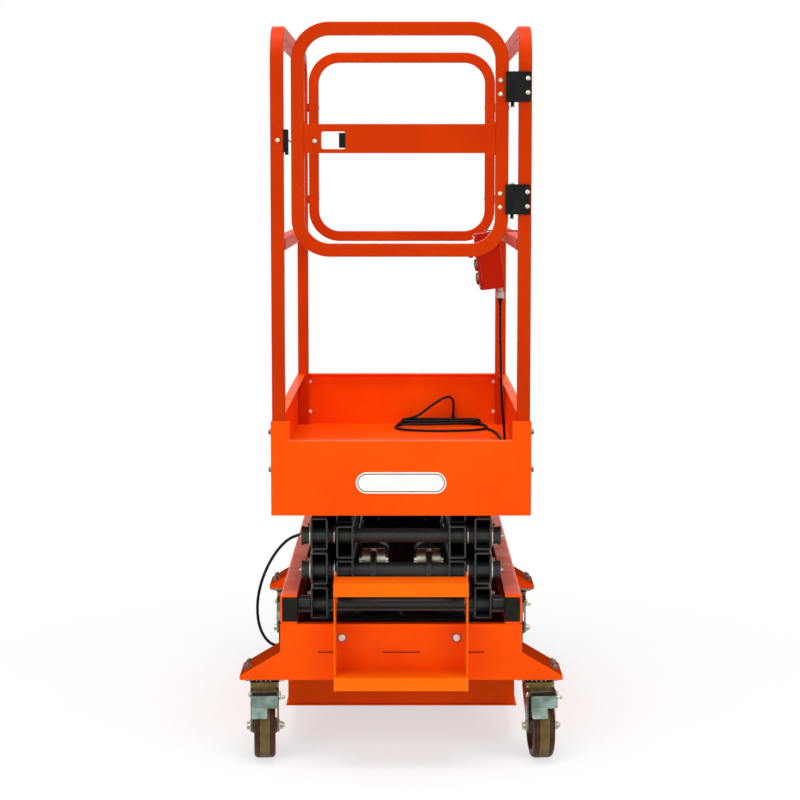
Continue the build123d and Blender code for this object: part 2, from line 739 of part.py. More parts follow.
# Latch band: a shallow folded strip between the gate's uprights. Its front flares into
# the uprights, and a window with rounded corners gives a hand to the latch.
band_left, band_right = gate_left_x + post, gate_right_x - post
flare, window_corner, window_drop = 10.0, 5.0, 8.0
window_bottom_z, window_top_z = band_bottom_z + window_margin, band_top_z - window_margin - window_drop
with BuildPart() as band:
    with BuildSketch(lengthwise(band_left)):
        with BuildLine():
            Polyline(
                (gate_front_y, band_bottom_z),
                (gate_front_y + band_depth, band_bottom_z),
                (gate_front_y + band_depth, band_bottom_z + sheet),
                (gate_front_y + sheet, band_bottom_z + sheet),
                (gate_front_y + sheet, band_top_z - sheet),
                (gate_front_y + band_depth, band_top_z - sheet),
                (gate_front_y + band_depth, band_top_z),
                (gate_front_y, band_top_z),
                close=True,
            )
        make_face()
    extrude(amount=band_right - band_left)
    with BuildSketch(upright(gate_front_y)):
        for end_x, inward in ((band_left, 1), (band_right, -1)):
            for edge_z, away in ((band_top_z, 1), (band_bottom_z, -1)):
                with Locations((end_x + inward * flare / 2, edge_z + away * flare / 2)):
                    Rectangle(flare, flare)
                with Locations((end_x + inward * flare, edge_z + away * flare)):
                    Circle(flare, mode=Mode.SUBTRACT)
    extrude(amount=-sheet)
    with BuildSketch(upright(gate_front_y + sheet)):
        with Locations(((window_left_x + window_right_x) / 2, (window_bottom_z + window_top_z) / 2)):
            RectangleRounded(window_width, window_top_z - window_bottom_z, window_corner)
    extrude(amount=sheet, mode=Mode.SUBTRACT)
save(band, "gate_band")

# Latch pull: a black block behind the window's right end.
latch_reach, latch_clearance, latch_set_in = 18.0, 3.0, 4.0
latch_back_y = gate_front_y + band_depth - latch_set_in
with BuildPart() as latch:
    block(
        (window_right_x - latch_width, gate_front_y + sheet, window_bottom_z + latch_clearance),
        (window_right_x + latch_reach, latch_back_y, window_top_z - latch_clearance),
    )
save(latch, "gate_latch")

# Striker on the left post, which the latch's bolt enters: a block with a stepped foot.
striker_width, striker_step = 10.5, 6.0
striker_below, striker_short = 4.0, 12.0
striker_bottom_z, striker_top_z = band_bottom_z - striker_below, band_top_z - striker_short
with BuildPart() as striker:
    block(
        (-post_inner_x, post_front_y, striker_bottom_z + striker_step),
        (-post_inner_x + striker_width, post_front_y + post, striker_top_z),
    )
    block(
        (-post_inner_x + striker_width / 3, post_front_y, striker_bottom_z),
        (-post_inner_x + striker_width, post_front_y + post, striker_bottom_z + striker_step),
    )
save(striker, "latch_striker")

# Hinges: a gate leaf on the tube's back face, and a post bracket whose front
# plate also stops the gate, so that it opens only inward.
hinge_split = hinge_height / 2
with BuildPart() as gate_leaves:
    for bottom in hinge_bottoms:
        knuckle_top = bottom + hinge_split - flat_gap
        block(
            (gate_right_x - leaf_reach, gate_back_y, bottom),
            (hinge_x, gate_back_y + leaf_thick, bottom + hinge_split - flat_gap),
        )
        with BuildSketch(Plane.XY.offset(bottom)):
            with Locations((hinge_x, hinge_y_gate)):
                Circle(knuckle_radius)
        extrude(amount=knuckle_top - bottom)
        with BuildSketch(Plane.XY.offset(bottom)):
            with Locations((hinge_x, hinge_y_gate)):
                Circle(hinge_pin + running)
        extrude(amount=knuckle_top - bottom, mode=Mode.SUBTRACT)
save(gate_leaves, "gate_hinge_leaves")

stop_plate, stop_lap, stop_inset = 6.0, 7.0, 3.0
hinge_web, web_reach, pin_below = 5.0, 8.0, 8.0
stop_left_x, stop_right_x = gate_right_x - stop_lap, post_outer_x - stop_inset
stop_front_y = post_front_y - stop_plate
web_x, web_back_y = post_inner_x - hinge_web, hinge_y_gate + web_reach
with BuildPart() as post_leaves:
    for bottom in hinge_bottoms:
        top = bottom + hinge_height
        block((stop_left_x, stop_front_y, bottom), (stop_right_x, post_front_y, top))
        block((web_x, stop_front_y, bottom), (post_inner_x, web_back_y, top))
        block(
            (hinge_x, hinge_y_gate - hinge_web / 2, bottom + hinge_split),
            (post_inner_x, hinge_y_gate + hinge_web / 2, top),
        )
        with BuildSketch(Plane.XY.offset(bottom + hinge_split)):
            with Locations((hinge_x, hinge_y_gate)):
                Circle(knuckle_radius)
        extrude(amount=hinge_split)
        with BuildSketch(Plane.XY.offset(bottom - pin_below)):
            with Locations((hinge_x, hinge_y_gate)):
                Circle(hinge_pin)
        extrude(amount=hinge_split + pin_below + 1)
save(post_leaves, "post_hinge_leaves")

# ============================== control box =================================
# The box hangs on the right mid rail, tipped so that its buttons face up a little.
box_plane = Plane(
    origin=(box_x, box_y, box_z),
    x_dir=(cos(radians(box_tilt)), 0, sin(radians(box_tilt))),
    z_dir=(-sin(radians(box_tilt)), 0, cos(radians(box_tilt))),
)
box_corner = 8.0
hook_half, hook_thick, hook_gap = 20.0, 3.0, 0.2
hook_inside, hook_hang = 12.0, 22.0
with BuildPart() as control_box:
    with BuildSketch(box_plane.offset(-box_tall / 2)):
        RectangleRounded(box_thick, box_breadth, box_corner)
    extrude(amount=box_tall)
    # one bent strap: up from the box, over the mid rail and down its outside
    strap_low_y, strap_high_y = box_y - hook_half, box_y + hook_half
    strap_inner_x, strap_outer_x = box_x - hook_inside, post_outer_x + hook_gap + hook_thick
    rail_top = mid_rail_z + post / 2
    strap_top = rail_top + hook_gap + hook_thick
    block(
        (strap_inner_x, strap_low_y, rail_top + hook_gap),
        (strap_outer_x, strap_high_y, strap_top),
    )
    block(
        (post_outer_x + hook_gap, strap_low_y, rail_top - hook_hang),
        (strap_outer_x, strap_high_y, strap_top),
    )
    block(
        (strap_inner_x, strap_low_y, box_z + box_tall / 2 - hook_inside),
        (strap_inner_x + hook_thick, strap_high_y, strap_top),
    )
save(control_box, "control_box")


def on_box_face(along, up):
    """A plane on the box's button face, along Y and up the face, facing -X."""
    turn = radians(box_tilt)
    face = Vector(box_x, box_y, box_z) + Vector(
        -box_thick / 2 * cos(turn) - up * sin(turn), along, -box_thick / 2 * sin(turn) + up * cos(turn)
    )
    return Plane(origin=face, x_dir=(0, 1, 0), z_dir=(-cos(turn), 0, -sin(turn)))


stop_up, stop_stem, stop_stem_tall = 30.0, 11.0, 10.0
stop_radius, stop_tall, stop_round = 18.0, 12.0, 5.0
with BuildPart() as stop_button:
    with BuildSketch(on_box_face(0, stop_up)):
        Circle(stop_stem)
    extrude(amount=stop_stem_tall)
    with BuildSketch(on_box_face(0, stop_up).offset(stop_stem_tall)):
        Circle(stop_radius)
    extrude(amount=stop_tall)
    fillet(stop_button.faces().sort_by(Axis.X)[0].edges(), stop_round)
save(stop_button, "stop_button")

button_rises, button_radius, button_tall = (-8.0, -44.0), 12.0, 9.0
with BuildPart() as buttons:
    for up in button_rises:
        with BuildSketch(on_box_face(0, up)):
            Circle(button_radius)
        extrude(amount=button_tall)
save(buttons, "control_buttons")

# Cable gland under the box: a nut round the cord and a neck up into the box.
gland_drop, gland_nut, gland_neck = 98.0, 16.0, 7.0
gland_x, gland_y, gland_bottom = post_inner_x - 11, box_y, box_z - gland_drop
with BuildPart() as box_gland:
    with BuildSketch(Plane.XY.offset(gland_bottom)):
        with Locations((gland_x, gland_y)):
            Circle(gland_radius)
    extrude(amount=gland_nut)
    with BuildSketch(Plane.XY.offset(gland_bottom + gland_nut)):
        with Locations((gland_x, gland_y)):
            Circle(gland_neck)
    extrude(until=Until.NEXT, target=control_box.part)
save(box_gland, "box_cord_gland")

# ============================== cords =======================================


def cord_tube(points, name, radius=cord_radius):
    """A round cord along straight runs joined by arcs as large as the runs allow."""
    corners = [Vector(*point) for point in points]
    radii = []
    for before, at, after in zip(corners, corners[1:], corners[2:]):
        arriving, leaving = at - before, after - at
        turn = radians(arriving.get_angle(leaving))
        shorter = min(arriving.length, leaving.length)
        radii.append(0.45 * shorter / tan(turn / 2))
    with BuildPart() as tube:
        with BuildLine() as route:
            FilletPolyline(*corners, radius=radii)
        with BuildSketch(Plane(origin=corners[0], z_dir=corners[1] - corners[0])):
            Circle(radius)
        sweep(path=route.wires()[0])
    save(tube, name)


def under_box(inset, behind, below):
    """A point below the box's gland; inset is measured from the right posts."""
    return (post_inner_x - inset, gland_y + behind, gland_bottom - below)


def on_deck(inset, from_back, rise):
    """A point above the deck, in from the right posts and the back face."""
    return (post_inner_x - inset, back_face - from_back, floor_z + rise)


# The control cord hangs from the box and runs back along the deck to its coil.
drop_route = [
    under_box(11, 0, 0),
    under_box(11, 0, 74),
    under_box(9, 1, 154),
    under_box(7, 4, 231),
    on_deck(3, 533, 96),
    on_deck(-3, 513, 41),
    on_deck(-6, 477, 12),
    on_deck(-3, 429, 5),
    on_deck(3, 371, 4.5),
    on_deck(7, 309, 4.2),
    on_deck(13, 244, 4.6),
    on_deck(26, 189, 6),
    on_deck(43, 149, 9),
]
cord_tube(drop_route, "control_cord_drop")

# The spare length lies in a loose flat coil of a few turns by the back board.
coil_inset, coil_from_back = 157.0, 112.0
coil_x, coil_y, _ = on_deck(coil_inset, coil_from_back, 0)
coil_half_x, coil_half_y = 134.0, 80.0
coil_band, coil_height, coil_gap = 30.0, 18.0, 0.3
with BuildPart() as coil:
    with BuildSketch(Plane.XY.offset(floor_z + coil_gap)):
        with Locations((coil_x, coil_y)):
            Ellipse(coil_half_x, coil_half_y)
            Ellipse(coil_half_x - coil_band, coil_half_y - coil_band, mode=Mode.SUBTRACT)
    extrude(amount=coil_height)
save(coil, "control_cord_coil")

# The cord's end lifts off the coil and goes down through a gland in the floor.
loop_route = [
    on_deck(241, 66, coil_gap + coil_height),
    on_deck(241, 66, 33),
    on_deck(232, 59, 51),
    on_deck(212, 49, 64),
    on_deck(185, 39, 69),
    on_deck(157, 30, 64),
    on_deck(135, 23, 50),
    on_deck(121, 19, 29),
    on_deck(121, 19, 12),
]
cord_tube(loop_route, "control_cord_loop")

plain_gland_radius, plain_gland_tall = 9.0, 12.0
deck_gland_x, deck_gland_y, _ = on_deck(121, 19, 0)
with BuildPart() as deck_gland:
    with BuildSketch(Plane.XY.offset(floor_z)):
        with Locations((deck_gland_x, deck_gland_y)):
            Circle(plain_gland_radius)
    extrude(amount=plain_gland_tall)
save(deck_gland, "deck_cord_gland")

side_gland_back, side_gland_below = 90.0, 22.0
side_gland_x, side_gland_y = -tray_half_x, pin_front_y + side_gland_back
side_gland_z = shoulder_z - side_gland_below
with BuildPart() as side_gland:
    with BuildSketch(lengthwise(side_gland_x)):
        with Locations((side_gland_y, side_gland_z)):
            Circle(plain_gland_radius)
    extrude(amount=-plain_gland_tall)
save(side_gland, "side_cord_gland")


def from_side_gland(out, ahead, up):
    """A point out from the tray's left side, ahead of and above its gland."""
    return (side_gland_x - out, side_gland_y - ahead, side_gland_z + up)


# The lift cord bows out past the left rail and up to the first arms' front pin.
lift_route = [
    from_side_gland(plain_gland_tall, 0, 0),
    from_side_gland(32, 0, 0),
    from_side_gland(53, 1, 19),
    from_side_gland(66, 5, 49),
    from_side_gland(70, 13, 87),
    from_side_gland(67, 24, 127),
    from_side_gland(57, 38, 167),
    from_side_gland(42, 53, 205),
    from_side_gland(23, 68, 239),
    from_side_gland(1, 80, 267),
    from_side_gland(-21, 87, 284),
    from_side_gland(-40, 90, 289),
]
cord_tube(lift_route, "lift_cord")

# ============================== casters =====================================
swivel_spots = {
    "front_left": (-caster_x, front_face + caster_inset),
    "front_right": (caster_x, front_face + caster_inset),
    "rear_left": (-caster_x, back_face - caster_inset),
    "rear_right": (caster_x, back_face - caster_inset),
}
race_bottom = caster_height - caster_plate_thick - race_height
crown_top = race_bottom - flat_gap
axle_z = wheel_radius
leg_inside = hub_width / 2 + flat_gap
leg_outside = leg_inside + fork_wall
plate_corner = 6.0

# Side outlines of the fork's pressed parts: (ahead of the swivel is negative, height).
leg_outline = [
    (26, crown_top),
    (-39, crown_top),
    (-wheel_trail - 16, axle_z + 30),
    (-wheel_trail - 16, axle_z),
    (-wheel_trail + 16, axle_z),
    (-wheel_trail + 18, axle_z + 20),
    (26, crown_top - 24),
]
eye_boss, nut_radius, nut_tall = 16.0, 10.0, 8.0
crown_overhang, crown_length, crown_ahead = 2.0, 46.0, 16.0
pedal_arm_outline = [(-34, 150), (-76, 150), (-76, 161), (-34, 166)]
pedal_outline = [(-70, 158), (-96, 154), (-101, 130), (-105, 131), (-100, 158), (-72, 162)]
tab_outline = [(-101, 134), (-116, 112), (-120, 113), (-105, 135)]

# Top plates bolted under the outriggers, each with its raised ball race.
with BuildPart() as plates:
    for spot in swivel_spots.values():
        with BuildSketch(Plane.XY.offset(caster_height)):
            with Locations(spot):
                RectangleRounded(caster_plate_x, caster_plate_y, plate_corner)
        extrude(amount=-caster_plate_thick)
        with BuildSketch(Plane.XY.offset(caster_height - caster_plate_thick)):
            with Locations(spot):
                Circle(race_radius)
        extrude(amount=-race_height)
        with BuildSketch(Plane.XY.offset(race_bottom)):
            with Locations(spot):
                Circle(king_pin_radius + running)
        extrude(amount=race_height + 1, mode=Mode.SUBTRACT)
save(plates, "caster_plates")


def caster_fork(spot, turn):
    """Crown, king pin, two raked legs, axle and brake pedal, trailing to the front."""
    place = Plane(origin=(*spot, 0), x_dir=(cos(turn), sin(turn), 0), z_dir=(0, 0, 1))

    def beside(x):
        """The upright plane along the wheel at x across the fork."""
        origin = place.from_local_coords(Vector(x, 0, 0))
        return Plane(origin=origin, x_dir=place.y_dir, z_dir=place.x_dir)

    def pressed(outline, x, thick):
        """A flat piece with the given side outline, from x across the fork."""
        with BuildSketch(beside(x)) as side_view:
            with BuildLine():
                Polyline(*outline, close=True)
            make_face()
        extrude(side_view.sketch, amount=thick)

    with BuildPart() as fork:
        with BuildSketch(place.offset(crown_top)):
            Circle(race_radius + crown_overhang)
            with Locations((0, -crown_ahead)):
                Rectangle(2 * leg_outside, crown_length)
        extrude(amount=-crown_thick)
        with BuildSketch(place.offset(crown_top)):
            Circle(king_pin_radius)
        extrude(amount=race_height)
        for side in (-1, 1):
            pressed(leg_outline, side * leg_inside, side * fork_wall)
            pressed(pedal_arm_outline, side * leg_inside, side * fork_wall)
            with BuildSketch(beside(side * leg_inside)):
                with Locations((-wheel_trail, axle_z)):
                    Circle(eye_boss)
            extrude(amount=side * fork_wall)
            with BuildSketch(beside(side * leg_outside)):
                with Locations((-wheel_trail, axle_z)):
                    RegularPolygon(nut_radius, 6)
            extrude(amount=side * nut_tall)
        with BuildSketch(beside(-leg_outside)):
            with Locations((-wheel_trail, axle_z)):
                Circle(axle_radius)
        extrude(amount=2 * leg_outside)
        # brake pedal ahead of the wheel's top, and the release tab below its left half
        pressed(pedal_outline, -pedal_width / 2, pedal_width)
        pressed(tab_outline, -pedal_width / 2, tab_width)
    return fork


def caster_wheel(spot, turn):
    """Tyre, dished core and hub turned as one profile about the axle."""
    place = Plane(origin=(*spot, 0), x_dir=(cos(turn), sin(turn), 0), z_dir=(0, 0, 1))
    hub_plane = Plane(
        origin=place.from_local_coords(Vector(0, -wheel_trail, axle_z)),
        x_dir=place.x_dir,
        z_dir=place.y_dir * -1,
    )
    half = wheel_width / 2
    with BuildPart() as wheel:
        with BuildSketch(hub_plane):
            with BuildLine():
                Polyline(
                    (-hub_width / 2, axle_radius + running),
                    (-hub_width / 2, hub_radius),
                    (-half + 8, hub_radius + 2),
                    (-half + 8, wheel_radius - 22),
                    (-half, wheel_radius - 18),
                    (-half, wheel_radius - 8),
                    (-half + 3, wheel_radius - 2.5),
                    (-half + 9, wheel_radius),
                    (half - 9, wheel_radius),
                    (half - 3, wheel_radius - 2.5),
                    (half, wheel_radius - 8),
                    (half, wheel_radius - 18),
                    (half - 8, wheel_radius - 22),
                    (half - 8, hub_radius + 2),
                    (hub_width / 2, hub_radius),
                    (hub_width / 2, axle_radius + running),
                    close=True,
                )
            make_face()
        revolve(axis=Axis(hub_plane.origin, hub_plane.x_dir))
    return wheel


for corner, spot in swivel_spots.items():
    turn = radians(fork_angles[corner])
    save(caster_fork(spot, turn), f"caster_fork_{corner}")
    save(caster_wheel(spot, turn), f"caster_wheel_{corner}")
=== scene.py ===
"""A push-around scissor lift: the finished surfaces and small parts, in metres."""
import json
from math import cos, pi, radians, sin

import bmesh
import bpy
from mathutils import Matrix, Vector

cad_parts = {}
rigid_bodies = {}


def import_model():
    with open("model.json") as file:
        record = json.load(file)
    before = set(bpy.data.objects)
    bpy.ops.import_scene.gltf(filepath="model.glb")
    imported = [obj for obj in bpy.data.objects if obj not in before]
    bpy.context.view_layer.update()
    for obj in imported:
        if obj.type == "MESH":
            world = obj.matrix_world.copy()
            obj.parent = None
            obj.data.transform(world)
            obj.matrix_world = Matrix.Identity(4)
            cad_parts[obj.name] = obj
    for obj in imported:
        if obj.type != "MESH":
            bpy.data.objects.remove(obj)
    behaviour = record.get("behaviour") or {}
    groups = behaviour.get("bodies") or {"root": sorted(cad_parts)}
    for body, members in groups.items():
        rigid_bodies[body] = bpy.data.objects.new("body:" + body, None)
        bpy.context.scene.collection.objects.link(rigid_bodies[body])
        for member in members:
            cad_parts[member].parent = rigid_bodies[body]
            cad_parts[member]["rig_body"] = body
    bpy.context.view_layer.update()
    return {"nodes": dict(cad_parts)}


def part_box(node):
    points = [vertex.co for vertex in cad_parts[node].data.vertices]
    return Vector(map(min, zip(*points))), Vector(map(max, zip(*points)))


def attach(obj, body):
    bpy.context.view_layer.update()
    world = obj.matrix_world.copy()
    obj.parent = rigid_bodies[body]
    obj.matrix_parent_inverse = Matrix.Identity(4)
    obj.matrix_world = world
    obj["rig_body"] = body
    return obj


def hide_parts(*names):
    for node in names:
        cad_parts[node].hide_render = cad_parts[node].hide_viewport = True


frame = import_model()

# The lift stands on a pale studio floor under two large soft lamps in front and one
# above. The floor fades to plain white away from the lift, so no horizon shows.
floor_mesh = bpy.data.meshes.new("studio_floor")
floor_mesh.from_pydata(
    [(-40, -40, 0), (40, -40, 0), (40, 40, 0), (-40, 40, 0)], [], [(0, 1, 2, 3)]
)
floor_piece = bpy.data.objects.new("studio_floor", floor_mesh)
bpy.context.scene.collection.objects.link(floor_piece)
floor_paint = bpy.data.materials.new("pale_floor")
floor_paint.use_nodes = True


def seen_directly(nodes, links):
    """1 for a ray from the camera, or from it by way of metal or glass, and 0 for others."""
    path = nodes.new("ShaderNodeLightPath")
    total = path.outputs["Is Camera Ray"]
    for ray in ("Is Glossy Ray", "Is Transmission Ray"):
        either = nodes.new("ShaderNodeMath")
        either.operation = "MAXIMUM"
        links.new(total, either.inputs[0])
        links.new(path.outputs[ray], either.inputs[1])
        total = either.outputs["Value"]
    return total


nodes, links = floor_paint.node_tree.nodes, floor_paint.node_tree.links
nodes.clear()
place = nodes.new("ShaderNodeTexCoord")
reach = nodes.new("ShaderNodeVectorMath")
reach.operation = "LENGTH"
links.new(place.outputs["Object"], reach.inputs[0])
shadow_reach, white_reach, shadow_white = 0.45, 1.5, 0.62
fade = nodes.new("ShaderNodeMapRange")
fade.inputs["From Min"].default_value = shadow_reach
fade.inputs["From Max"].default_value = white_reach
fade.inputs["To Min"].default_value = shadow_white
links.new(reach.outputs["Value"], fade.inputs["Value"])
matt = nodes.new("ShaderNodeBsdfDiffuse")
matt.inputs["Color"].default_value = (0.95, 0.95, 0.95, 1)
glow = nodes.new("ShaderNodeEmission")
seen = nodes.new("ShaderNodeMath")
seen.operation = "MULTIPLY"
links.new(seen_directly(nodes, links), seen.inputs[0])
links.new(fade.outputs["Result"], seen.inputs[1])
blend = nodes.new("ShaderNodeMixShader")
links.new(seen.outputs["Value"], blend.inputs["Fac"])
links.new(matt.outputs["BSDF"], blend.inputs[1])
links.new(glow.outputs["Emission"], blend.inputs[2])
surface = nodes.new("ShaderNodeOutputMaterial")
links.new(blend.outputs["Shader"], surface.inputs["Surface"])
floor_mesh.materials.append(floor_paint)

world = bpy.data.worlds.new("studio")
bpy.context.scene.world = world
world.use_nodes = True
nodes, links = world.node_tree.nodes, world.node_tree.links
nodes.clear()
plain = nodes.new("ShaderNodeBackground")
plain.inputs["Color"].default_value = (1, 1, 1, 1)
plain.inputs["Strength"].default_value = 0.45
white = nodes.new("ShaderNodeBackground")
white.inputs["Color"].default_value = (1, 1, 1, 1)
blend = nodes.new("ShaderNodeMixShader")
links.new(seen_directly(nodes, links), blend.inputs["Fac"])
links.new(plain.outputs["Background"], blend.inputs[1])
links.new(white.outputs["Background"], blend.inputs[2])
surface = nodes.new("ShaderNodeOutputWorld")
links.new(blend.outputs["Shader"], surface.inputs["Surface"])

lift_middle = Vector((0, 0, 0.7))
for lamp_name, lamp_at, lamp_size, watts in (
    ("left_softbox", (-2.4, -4.2, 2.2), 2.4, 56.0),
    ("right_softbox", (2.6, -4.0, 2.0), 2.2, 42.0),
    ("top_softbox", (0.0, -0.6, 4.4), 2.6, 130.0),
):
    lamp = bpy.data.lights.new(lamp_name, "AREA")
    lamp.size, lamp.energy = lamp_size, watts
    holder = bpy.data.objects.new(lamp_name, lamp)
    holder.location = lamp_at
    holder.rotation_euler = (lift_middle - Vector(lamp_at)).to_track_quat("-Z", "Y").to_euler()
    bpy.context.scene.collection.objects.link(holder)

camera = bpy.data.cameras.new("camera")
camera_dip = 5.7
camera.lens, camera.sensor_width = 89.8, 36.0
camera.shift_x, camera.shift_y = -0.0062, -0.03
camera_holder = bpy.data.objects.new("camera", camera)
camera_holder.location = (0.009, -5.126, 1.364)
camera_holder.rotation_euler = (radians(90 - camera_dip), 0, 0)
bpy.context.scene.collection.objects.link(camera_holder)
bpy.context.scene.camera = camera_holder
bpy.context.scene.view_settings.view_transform = "Standard"

# The control cord is a 7 mm rubber lead. It leaves the box's gland, hangs down beside
# the right guard, lies along the deck, is wound in loose turns and dives into the deck.
cord_across = 0.007
drop_points = [
    (0.258, 0.084, 1.049), (0.258, 0.084, 0.975), (0.260, 0.085, 0.895), (0.262, 0.088, 0.818),
    (0.266, 0.096, 0.748), (0.272, 0.116, 0.693), (0.275, 0.152, 0.664), (0.272, 0.200, 0.657),
    (0.268, 0.258, 0.6565), (0.266, 0.320, 0.6562), (0.262, 0.385, 0.6562), (0.252, 0.440, 0.6562),
]
loop_points = [
    (0.048, 0.566, 0.681), (0.068, 0.573, 0.697), (0.092, 0.581, 0.714), (0.116, 0.590, 0.728),
    (0.135, 0.598, 0.734), (0.147, 0.604, 0.726), (0.150, 0.608, 0.707), (0.149, 0.610, 0.686),
    (0.148, 0.610, 0.664),
]
# Each turn: how far it reaches along and across the deck, its middle and its height. The
# first lies loose and open; the others are drawn flat against the back board.
coil_turns = [
    (0.131, 0.090, 0.509, 0.6562), (0.132, 0.092, 0.511, 0.6564), (0.114, 0.021, 0.584, 0.6620),
    (0.111, 0.019, 0.584, 0.6665), (0.107, 0.019, 0.580, 0.6705),
]
coil_x, first_angle, last_angle, points_a_turn, flatness = 0.112, -20.0, 225.0, 20, 1.6
full_turns = len(coil_turns) - 2
whole_angle = 360.0 * full_turns + last_angle - first_angle
steps = round(points_a_turn * whole_angle / 360.0)
coil_points = []
for step in range(steps):
    swept = whole_angle * step / steps
    angle = radians(first_angle + swept)
    lap, share = int(swept / 360.0), swept / 360.0 % 1
    along, over, middle_y, height = (
        this * (1 - share) + following * share
        for this, following in zip(coil_turns[lap], coil_turns[lap + 1])
    )
    # a cosine cut off at both ends gives the turn straight sides between its round ends
    slide = max(-1.0, min(1.0, flatness * cos(angle))) * (along - over)
    coil_points.append((coil_x + slide + over * cos(angle), middle_y + over * sin(angle), height))


def lead(name, points, across):
    """A flexible lead along one smooth spline."""
    curve = bpy.data.curves.new(name, "CURVE")
    curve.dimensions = "3D"
    spline = curve.splines.new("NURBS")
    spline.points.add(len(points) - 1)
    for knot, at in zip(spline.points, points):
        knot.co = (*at, 1)
    spline.order_u = 3
    spline.use_endpoint_u = True
    spline.resolution_u = 8
    curve.bevel_depth = across / 2
    curve.bevel_resolution = 5
    curve.use_fill_caps = True
    piece = bpy.data.objects.new(name, curve)
    bpy.context.scene.collection.objects.link(piece)
    return piece


def surface_of(name):
    """A new finish with its node tree, its main shader and the piece's own coordinates."""
    finish = bpy.data.materials.new(name)
    finish.use_nodes = True
    tree = finish.node_tree
    shader = tree.nodes["Principled BSDF"]
    place = tree.nodes.new("ShaderNodeTexCoord")
    return finish, tree, shader, place.outputs["Object"]


def grain(tree, place, scale, detail=3.0, stretch=(1, 1, 1)):
    """Cloudy variation from 0 to 1, with scale in clouds per metre."""
    sizing = tree.nodes.new("ShaderNodeMapping")
    sizing.inputs["Scale"].default_value = stretch
    cloud = tree.nodes.new("ShaderNodeTexNoise")
    cloud.inputs["Scale"].default_value = scale
    cloud.inputs["Detail"].default_value = detail
    tree.links.new(place, sizing.inputs["Vector"])
    tree.links.new(sizing.outputs["Vector"], cloud.inputs["Vector"])
    return cloud.outputs["Fac"]


def spread(tree, value, low, high, start=0.3, stop=0.7):
    """The variation moved from start..stop to low..high."""
    span = tree.nodes.new("ShaderNodeMapRange")
    span.inputs["From Min"].default_value = start
    span.inputs["From Max"].default_value = stop
    span.inputs["To Min"].default_value = low
    span.inputs["To Max"].default_value = high
    tree.links.new(value, span.inputs["Value"])
    return span.outputs["Result"]


def between(tree, share, first, second):
    """A colour between two colours, each a colour or a socket."""
    mix = tree.nodes.new("ShaderNodeMix")
    mix.data_type = "RGBA"
    tree.links.new(share, mix.inputs["Factor"])
    for socket, colour in ((mix.inputs[6], first), (mix.inputs[7], second)):
        if isinstance(colour, tuple):
            socket.default_value = (*colour, 1)
        else:
            tree.links.new(colour, socket)
    return mix.outputs[2]


def relief(tree, shader, value, deep, strength=1.0):
    """Surface relief, deep metres from its lowest to its highest."""
    bump = tree.nodes.new("ShaderNodeBump")
    bump.inputs["Strength"].default_value = strength
    bump.inputs["Distance"].default_value = deep
    tree.links.new(value, bump.inputs["Height"])
    tree.links.new(bump.outputs["Normal"], shader.inputs["Normal"])


black_cable, tree, shader, place = surface_of("black_cable")
dusty = grain(tree, place, 60.0)
soot, dust = (0.005, 0.005, 0.005), (0.014, 0.013, 0.012)
tree.links.new(between(tree, spread(tree, dusty, 0, 1), soot, dust), shader.inputs["Base Color"])
tree.links.new(spread(tree, dusty, 0.42, 0.62), shader.inputs["Roughness"])
shader.inputs["Specular IOR Level"].default_value = 0.12
relief(tree, shader, grain(tree, place, 1800.0), 0.00015, 0.5)

control_cord = lead("control_cord", drop_points + coil_points + loop_points, cord_across)
control_cord.data.materials.append(black_cable)
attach(control_cord, "deck")
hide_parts("control_cord_drop", "control_cord_coil", "control_cord_loop")

# The lift cord leaves a gland in the left sill and bows outward before it goes into the
# scissor, so that it has slack when the stages part.
lift_points = [
    (-0.289, -0.386, 0.235), (-0.309, -0.386, 0.235), (-0.330, -0.387, 0.254),
    (-0.343, -0.391, 0.284), (-0.347, -0.399, 0.322), (-0.344, -0.410, 0.362),
    (-0.334, -0.424, 0.402), (-0.319, -0.439, 0.440), (-0.300, -0.454, 0.474),
    (-0.278, -0.466, 0.502), (-0.256, -0.473, 0.519), (-0.237, -0.476, 0.524),
]
lift_cord = lead("lift_cord_lead", lift_points, cord_across)
lift_cord.data.materials.append(black_cable)
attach(lift_cord, "base")
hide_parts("lift_cord")

# The base's side rails are rolled steel channels, 68 by 40 by 5 mm, open inward so that
# the lower rollers run inside them. They are stitch welded on the sills and sprayed orange.
sharp_angle, smooth_angle, long_edge = radians(32), radians(33), 0.2


def round_edges(shape, radius, segments, clamp, wanted=lambda edge: True):
    """Every wanted sharp edge of the shape, rounded to the radius."""
    sharp = [
        edge for edge in shape.edges
        if len(edge.link_faces) == 2 and edge.calc_face_angle(0) > sharp_angle and wanted(edge)
    ]
    bmesh.ops.bevel(shape, geom=sharp, offset=radius, offset_type="OFFSET", segments=segments,
                    profile=0.5, affect="EDGES", clamp_overlap=clamp)


def finished(mesh, name, finish, body):
    """The mesh as a smooth-shaded piece with its finish, riding on its body."""
    mesh.name = name
    mesh.materials.clear()
    mesh.materials.append(finish)
    mesh.polygons.foreach_set("use_smooth", [True] * len(mesh.polygons))
    mesh.polygons.foreach_set("material_index", [0] * len(mesh.polygons))
    mesh.set_sharp_from_angle(angle=smooth_angle)
    piece = bpy.data.objects.new(name, mesh)
    bpy.context.scene.collection.objects.link(piece)
    even = piece.modifiers.new("even", "WEIGHTED_NORMAL")
    even.keep_sharp = True
    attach(piece, body)
    return piece


